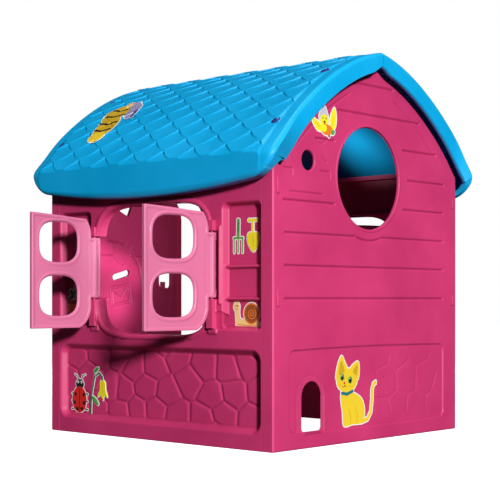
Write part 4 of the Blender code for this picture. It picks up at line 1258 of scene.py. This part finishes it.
SNAIL_TURNS = [(70 + 1.1875 * t * math.cos(t), 50 + 1.475 * t * math.sin(t))
               for t in np.linspace(0.6, 13.5, 60)]
PICTURES = {
    "cat": [
        stroke("yellow", [(62, 5.5), (76, 8.5), (84, 18), (86.5, 34), (87, 48), (90, 56),
                          (95, 58.5)], 12.5),
        fill("yellow", [(14, 47), (40, 47), (60, 39), (68, 26), (68, 12), (62, 3.5), (40, 3), (20, 2),
                        (17, 20)]),
        fill("yellow", [(3, 66), (5, 84), (14, 98.5), (22, 90), (28, 76)]),
        fill("yellow", [(33, 77), (42, 86), (53, 89.5), (56, 80), (52, 64)]),
        dot("yellow", (27.2, 64.5), (51, 36.5)),
        fill("gold", [(9, 72), (10, 84), (14, 92), (19, 84), (21, 76)]),
        fill("gold", [(41, 76), (46, 82), (51.5, 85), (52, 79), (49, 70)]),
        stroke("gold", [(36, 5), (35, 15), (31, 25)], 2.2),
        stroke("gold", [(50, 5), (51, 16), (47, 26)], 2.2),
        stroke("teal", [(15.5, 47.5), (27, 45.5), (40, 49)], 9.5),
        dot("green", (15.7, 69), (9.8, 11)), dot("green", (34, 64.5), (10.2, 11.2)),
        dot("black", (15.7, 69), (6, 8.5)), dot("black", (34, 64.5), (6.4, 8.8)),
        dot("white", (14.7, 71.2), (2.2, 2.4)), dot("white", (33, 66.8), (2.2, 2.4)),
        dot("red", (20.7, 61), (4.2, 3.4)),
        stroke("brown", [(15, 56.5), (20, 55.5), (21.5, 58.5), (25, 55.2)], 1.4),
        stroke("gold", [(8, 58.5), (13, 59)], 1.2),
        stroke("gold", [(31, 56.5), (37, 56)], 1.2)],
    "bird": [
        fill("grey", [(34, 50), (31, 74), (49, 97), (59, 80), (66, 52)]),
        fill("lemon", [(70, 52), (74, 78), (86, 97), (93, 78), (91, 45), (76, 28)]),
        fill("lemon", [(3, 58), (14, 57), (34, 46), (49, 28), (27, 24), (9, 42)]),
        dot("lemon", (49, 55), (20, 19)),
        dot("orange", (58, 30), (27, 16.5)),
        dot("lemon", (46, 34), (15, 12)),
        dot("green", (80, 25), (10, 7.5), 20), dot("brown", (66, 13), (4, 5)),
        dot("black", (43, 62), (2.2, 2.6)), dot("black", (55, 62), (2.2, 2.6)),
        fill("brown", [(45, 54), (53, 54), (48.5, 43)]),
        stroke("gold", [(78, 45), (83, 70)], 1.4),
        stroke("gold", [(16, 47), (33, 35)], 1.4)],
    "garden_tools": [
        stroke("green", [(22, 93), (21, 52)], 11.5),
        stroke("green", [(6, 46), (38, 46)], 6),
        *[stroke("green", [(a, 46), (a, 7)], 4.2) for a in (7, 22, 37)],
        stroke("deep_green", [(22, 88), (21.5, 60)], 3),
        stroke("lemon", [(60, 92), (88, 92)], 8.5),
        stroke("lemon", [(74, 92), (74, 58)], 6.2),
        fill("lemon", [(56, 56), (75, 60), (94, 56), (95, 33), (77, 8), (57, 30)]),
        stroke("gold", [(75, 50), (76, 22)], 2.2)],
    "snail": [
        fill("cream", [(10, 70), (14, 52), (16, 20), (20, 8), (60, 5), (95, 7), (97, 20), (66, 30),
                       (34, 32), (28, 50), (27, 70)]),
        dot("cream", (18.5, 72), (12, 13.5)),
        stroke("cream", [(16, 80), (13, 94)], 3),
        stroke("cream", [(22, 80), (25, 95)], 3),
        dot("orange", (70, 50), (30, 31.5)),
        dot("brown", (70, 50), (25.5, 27)),
        stroke("orange", SNAIL_TURNS, 2.6),
        dot("black", (15.5, 75), (1.6, 2.2)), dot("black", (21.5, 75), (1.6, 2.2)),
        stroke("brown", [(15, 65.5), (19, 63.5), (22.5, 66)], 1.1),
        stroke("orange", [(22, 14), (60, 11), (90, 13)], 1.8)],
    "flower_pot": [
        stroke("cream", [(50, 45), (47, 75), (52, 93)], 6),
        dot("deep_green", (30, 62), (15, 6.8), 52), dot("deep_green", (70, 60), (15, 6.8), 35),
        dot("deep_green", (24, 50), (15, 6.8), -15), dot("deep_green", (76, 50), (15, 6.8), 14),
        dot("green", (44, 60), (6, 14), 12),
        dot("orange", (52, 92), (6.2, 6.8)),
        fill("orange", [(20, 5), (50, 4), (80, 5), (87, 34), (13, 34)]),
        stroke("brown", [(12, 39), (88, 39)], 12.5),
        stroke("brown", [(24, 17), (76, 17)], 2)],
    "ladybird": [
        stroke("black", [(26, 68), (19, 80), (13, 83)], 2.8),
        stroke("black", [(29, 68), (34, 81), (41, 83)], 2.8),
        *[stroke("black", [(5, b - 5), (26, b), (47, b - 5)], 3.4) for b in (20, 36, 50)],
        dot("black", (26.5, 64), (19, 16.5)),
        dot("red", (25.5, 34), (35, 43)),
        stroke("black", [(26.2, 56), (25, 10)], 2.6),
        *[dot("black", spot, (6.2, 6.2))
          for spot in ((15, 44), (37, 44), (13, 28), (38, 28), (20, 16), (32, 16))],
        dot("white", (22, 68), (4.2, 4.6)), dot("white", (31, 68), (4.2, 4.6)),
        dot("black", (22.5, 67.5), (1.8, 2.2)), dot("black", (30.5, 67.5), (1.8, 2.2)),
        stroke("deep_green", [(56, 8), (58, 45), (66, 80), (78, 88), (86, 80), (86.5, 70)], 3.8),
        dot("green", (68, 34), (20, 6.6), 42),
        dot("green", (70, 93), (15, 5.6), -35),
        fill("lemon", [(80, 70), (79, 55), (74, 42), (82, 45), (87, 38), (92, 45), (99, 42), (94.5, 56),
                       (93, 70), (86.5, 74)]),
        stroke("gold", [(86.5, 68), (86.8, 50)], 2),
        dot("orange", (87, 38), (3.4, 4))],
    # laid out along the ridge and down the slope, the head uphill
    "bee": [
        dot("lilac", (80, 70), (26, 52), 14),
        dot("violet", (93, 62), (8.5, 27), 8),
        dot("lilac", (62, 82), (23, 40), -8),
        dot("gold", (36, 66), (52, 56)),
        dot("gold", (48, 34), (46, 60)),
        fill("yellow", [(26, 16), (34, 3), (58, 3), (66, 16), (48, 24)]),
        dot("cream", (46, 90), (17, 16)),
        dot("red", (53, 93), (5, 4)),
        *[stroke("black", [(a - half, b + 2), (a, b - 2), (a + half, b + 2)], 8.5)
          for a, b, half in ((35.2, 76, 20), (38.4, 60, 27), (42, 42, 25), (45.2, 26, 22))],
        dot("black", (42, 91), (2.6, 3)),
        stroke("black", [(44, 95), (38, 99)], 2)],
}


def stickers():
    """Each sticker with its box on its wall: across and up, or along and down the roof."""
    def over_scales(y, s):
        return 0.45 * shingles(y, s) + 0.0038

    rear, left, roof = on_gable(REAR_FACE, -1), on_wall(-1), roof_place(-1)
    niche, stone = flat(-NICHE_FLOOR), flat(STONE_HIGH - STONE_FLOOR)
    for name, low, high, place, level in (
            ("cat", (-0.182, 0.048), (0.032, 0.270), rear, flat(-PANEL_SUNK)),
            ("bird", (-0.303, 0.912), (-0.174, 1.016), rear, flat(0.0)),
            ("garden_tools", (-0.423, 0.567), (-0.313, 0.677), left, niche),
            ("snail", (-0.423, 0.352), (-0.310, 0.440), left, niche),
            ("flower_pot", (0.351, 0.379), (0.438, 0.507), left, niche),
            ("ladybird", (0.231, 0.050), (0.418, 0.219), left, stone),
            ("bee", (0.225, 0.520), (0.395, 0.272), roof, over_scales)):
        at = in_box(low, high, place is not rear)
        sticker("sticker_" + name, PICTURES[name], at, place, level, place is left)


# ---------------------------------------------------------------- floor, lights and camera
def stage():
    """Pale floor. It takes shadows and does not bounce light back up under the eaves."""
    bpy.ops.mesh.primitive_plane_add(size=30, location=(0, 0, -0.0005))
    floor = bpy.context.object
    floor.name = "floor"
    floor.visible_diffuse = False
    floor.visible_glossy = False
    material = bpy.data.materials.new("floor_paper")
    material.use_nodes = True
    shader = material.node_tree.nodes["Principled BSDF"]
    shader.inputs["Base Color"].default_value = (0.85, 0.85, 0.85, 1)
    shader.inputs["Roughness"].default_value = 0.9
    shader.inputs["Emission Color"].default_value = (1, 1, 1, 1)
    shader.inputs["Emission Strength"].default_value = 1.0
    floor.data.materials.append(material)


MIDDLE = Vector((MID_X, MID_Y, 0.6))
KEY_WAY = Vector((-1.0, -1.62, 0.44))
KEY_FAR = 14.0
SURROUND = 0.02
LAMPS = (    # name, place, aim, size, power and spread in degrees
    ("key", MIDDLE + KEY_WAY.normalized() * KEY_FAR, MIDDLE, 1.5, 2500, 180),
    ("top", (MID_X - 0.9, MID_Y - 0.4, 4.6), MIDDLE, 1.6, 45, 180),
    ("front", (MID_X - 1.6, MID_Y - 3.0, 3.6), MIDDLE, 2.0, 25, 180),
    ("back", (MID_X + 2.9, MID_Y + 3.3, 0.95), MIDDLE, 1.6, 110, 180),
    ("inside", (MID_X - 0.34, MID_Y - 0.10, 0.62), (MID_X - 0.10, MID_Y + 0.49, 0.62), 0.05, 0.80, 110),
    ("attic", (MID_X + 0.02, MID_Y - 0.06, 0.89), (MID_X + 0.40, MID_Y - 0.16, 0.985), 0.06, 0.10, 42))


def area_light(name, place, aim, size, power, spread):
    data = bpy.data.lights.new(name, "AREA")
    data.shape = "DISK"
    data.size = size
    data.energy = power
    data.spread = math.radians(spread)
    lamp = link(name, data)
    lamp.location = place
    lamp.rotation_euler = (Vector(aim) - Vector(place)).to_track_quat("-Z", "Y").to_euler()
    lamp.visible_camera = False


def lights():
    """White backdrop with a weak surround, a low key light that rakes the left wall, and weak fills."""
    world = bpy.data.worlds.new("studio")
    world.use_nodes = True
    tree = world.node_tree
    surround = tree.nodes["Background"]
    surround.inputs["Color"].default_value = (1, 1, 1, 1)
    surround.inputs["Strength"].default_value = SURROUND
    backdrop = tree.nodes.new("ShaderNodeBackground")
    backdrop.inputs["Color"].default_value = (1, 1, 1, 1)
    path = tree.nodes.new("ShaderNodeLightPath")
    choose = tree.nodes.new("ShaderNodeMixShader")
    tree.links.new(path.outputs["Is Camera Ray"], choose.inputs[0])
    tree.links.new(surround.outputs[0], choose.inputs[1])
    tree.links.new(backdrop.outputs[0], choose.inputs[2])
    tree.links.new(choose.outputs[0], tree.nodes["World Output"].inputs["Surface"])
    bpy.context.scene.world = world
    bpy.context.scene.view_settings.view_transform = "Standard"
    for lamp in LAMPS:
        area_light(*lamp)



def camera():
    """View from the corner, turned to the photo's 48 degrees, upright, with a raised frame."""
    data = bpy.data.cameras.new("view")
    data.lens = 93.1
    data.sensor_width = 36
    data.shift_y = 0.098
    data.clip_end = 60
    eye = link("view", data)
    eye.location = (MID_X - WIDTH / 2 - 2.7780, REAR_FACE - 2.4074, 0.4386)
    eye.rotation_euler = (math.radians(90), 0, math.radians(-48.06))
    bpy.context.scene.camera = eye


# ---------------------------------------------------------------- everything
camera()
lights()
stage()
rear_gable()
front_gable()
side_wall("left_wall", "left_side_wall", -1)
side_wall("right_wall", "right_side_wall", 1)
roof_half("left_roof", "roof_left", -1)
roof_half("right_roof", "roof_right", 1)
roof_screws()
wall_clips()
shutters()
door_leaf()
stickers()
for node_name, node_object in NODES.items():
    if "pin" in node_name:
        node_object.data.materials.clear()
        node_object.data.materials.append(MAGENTA)
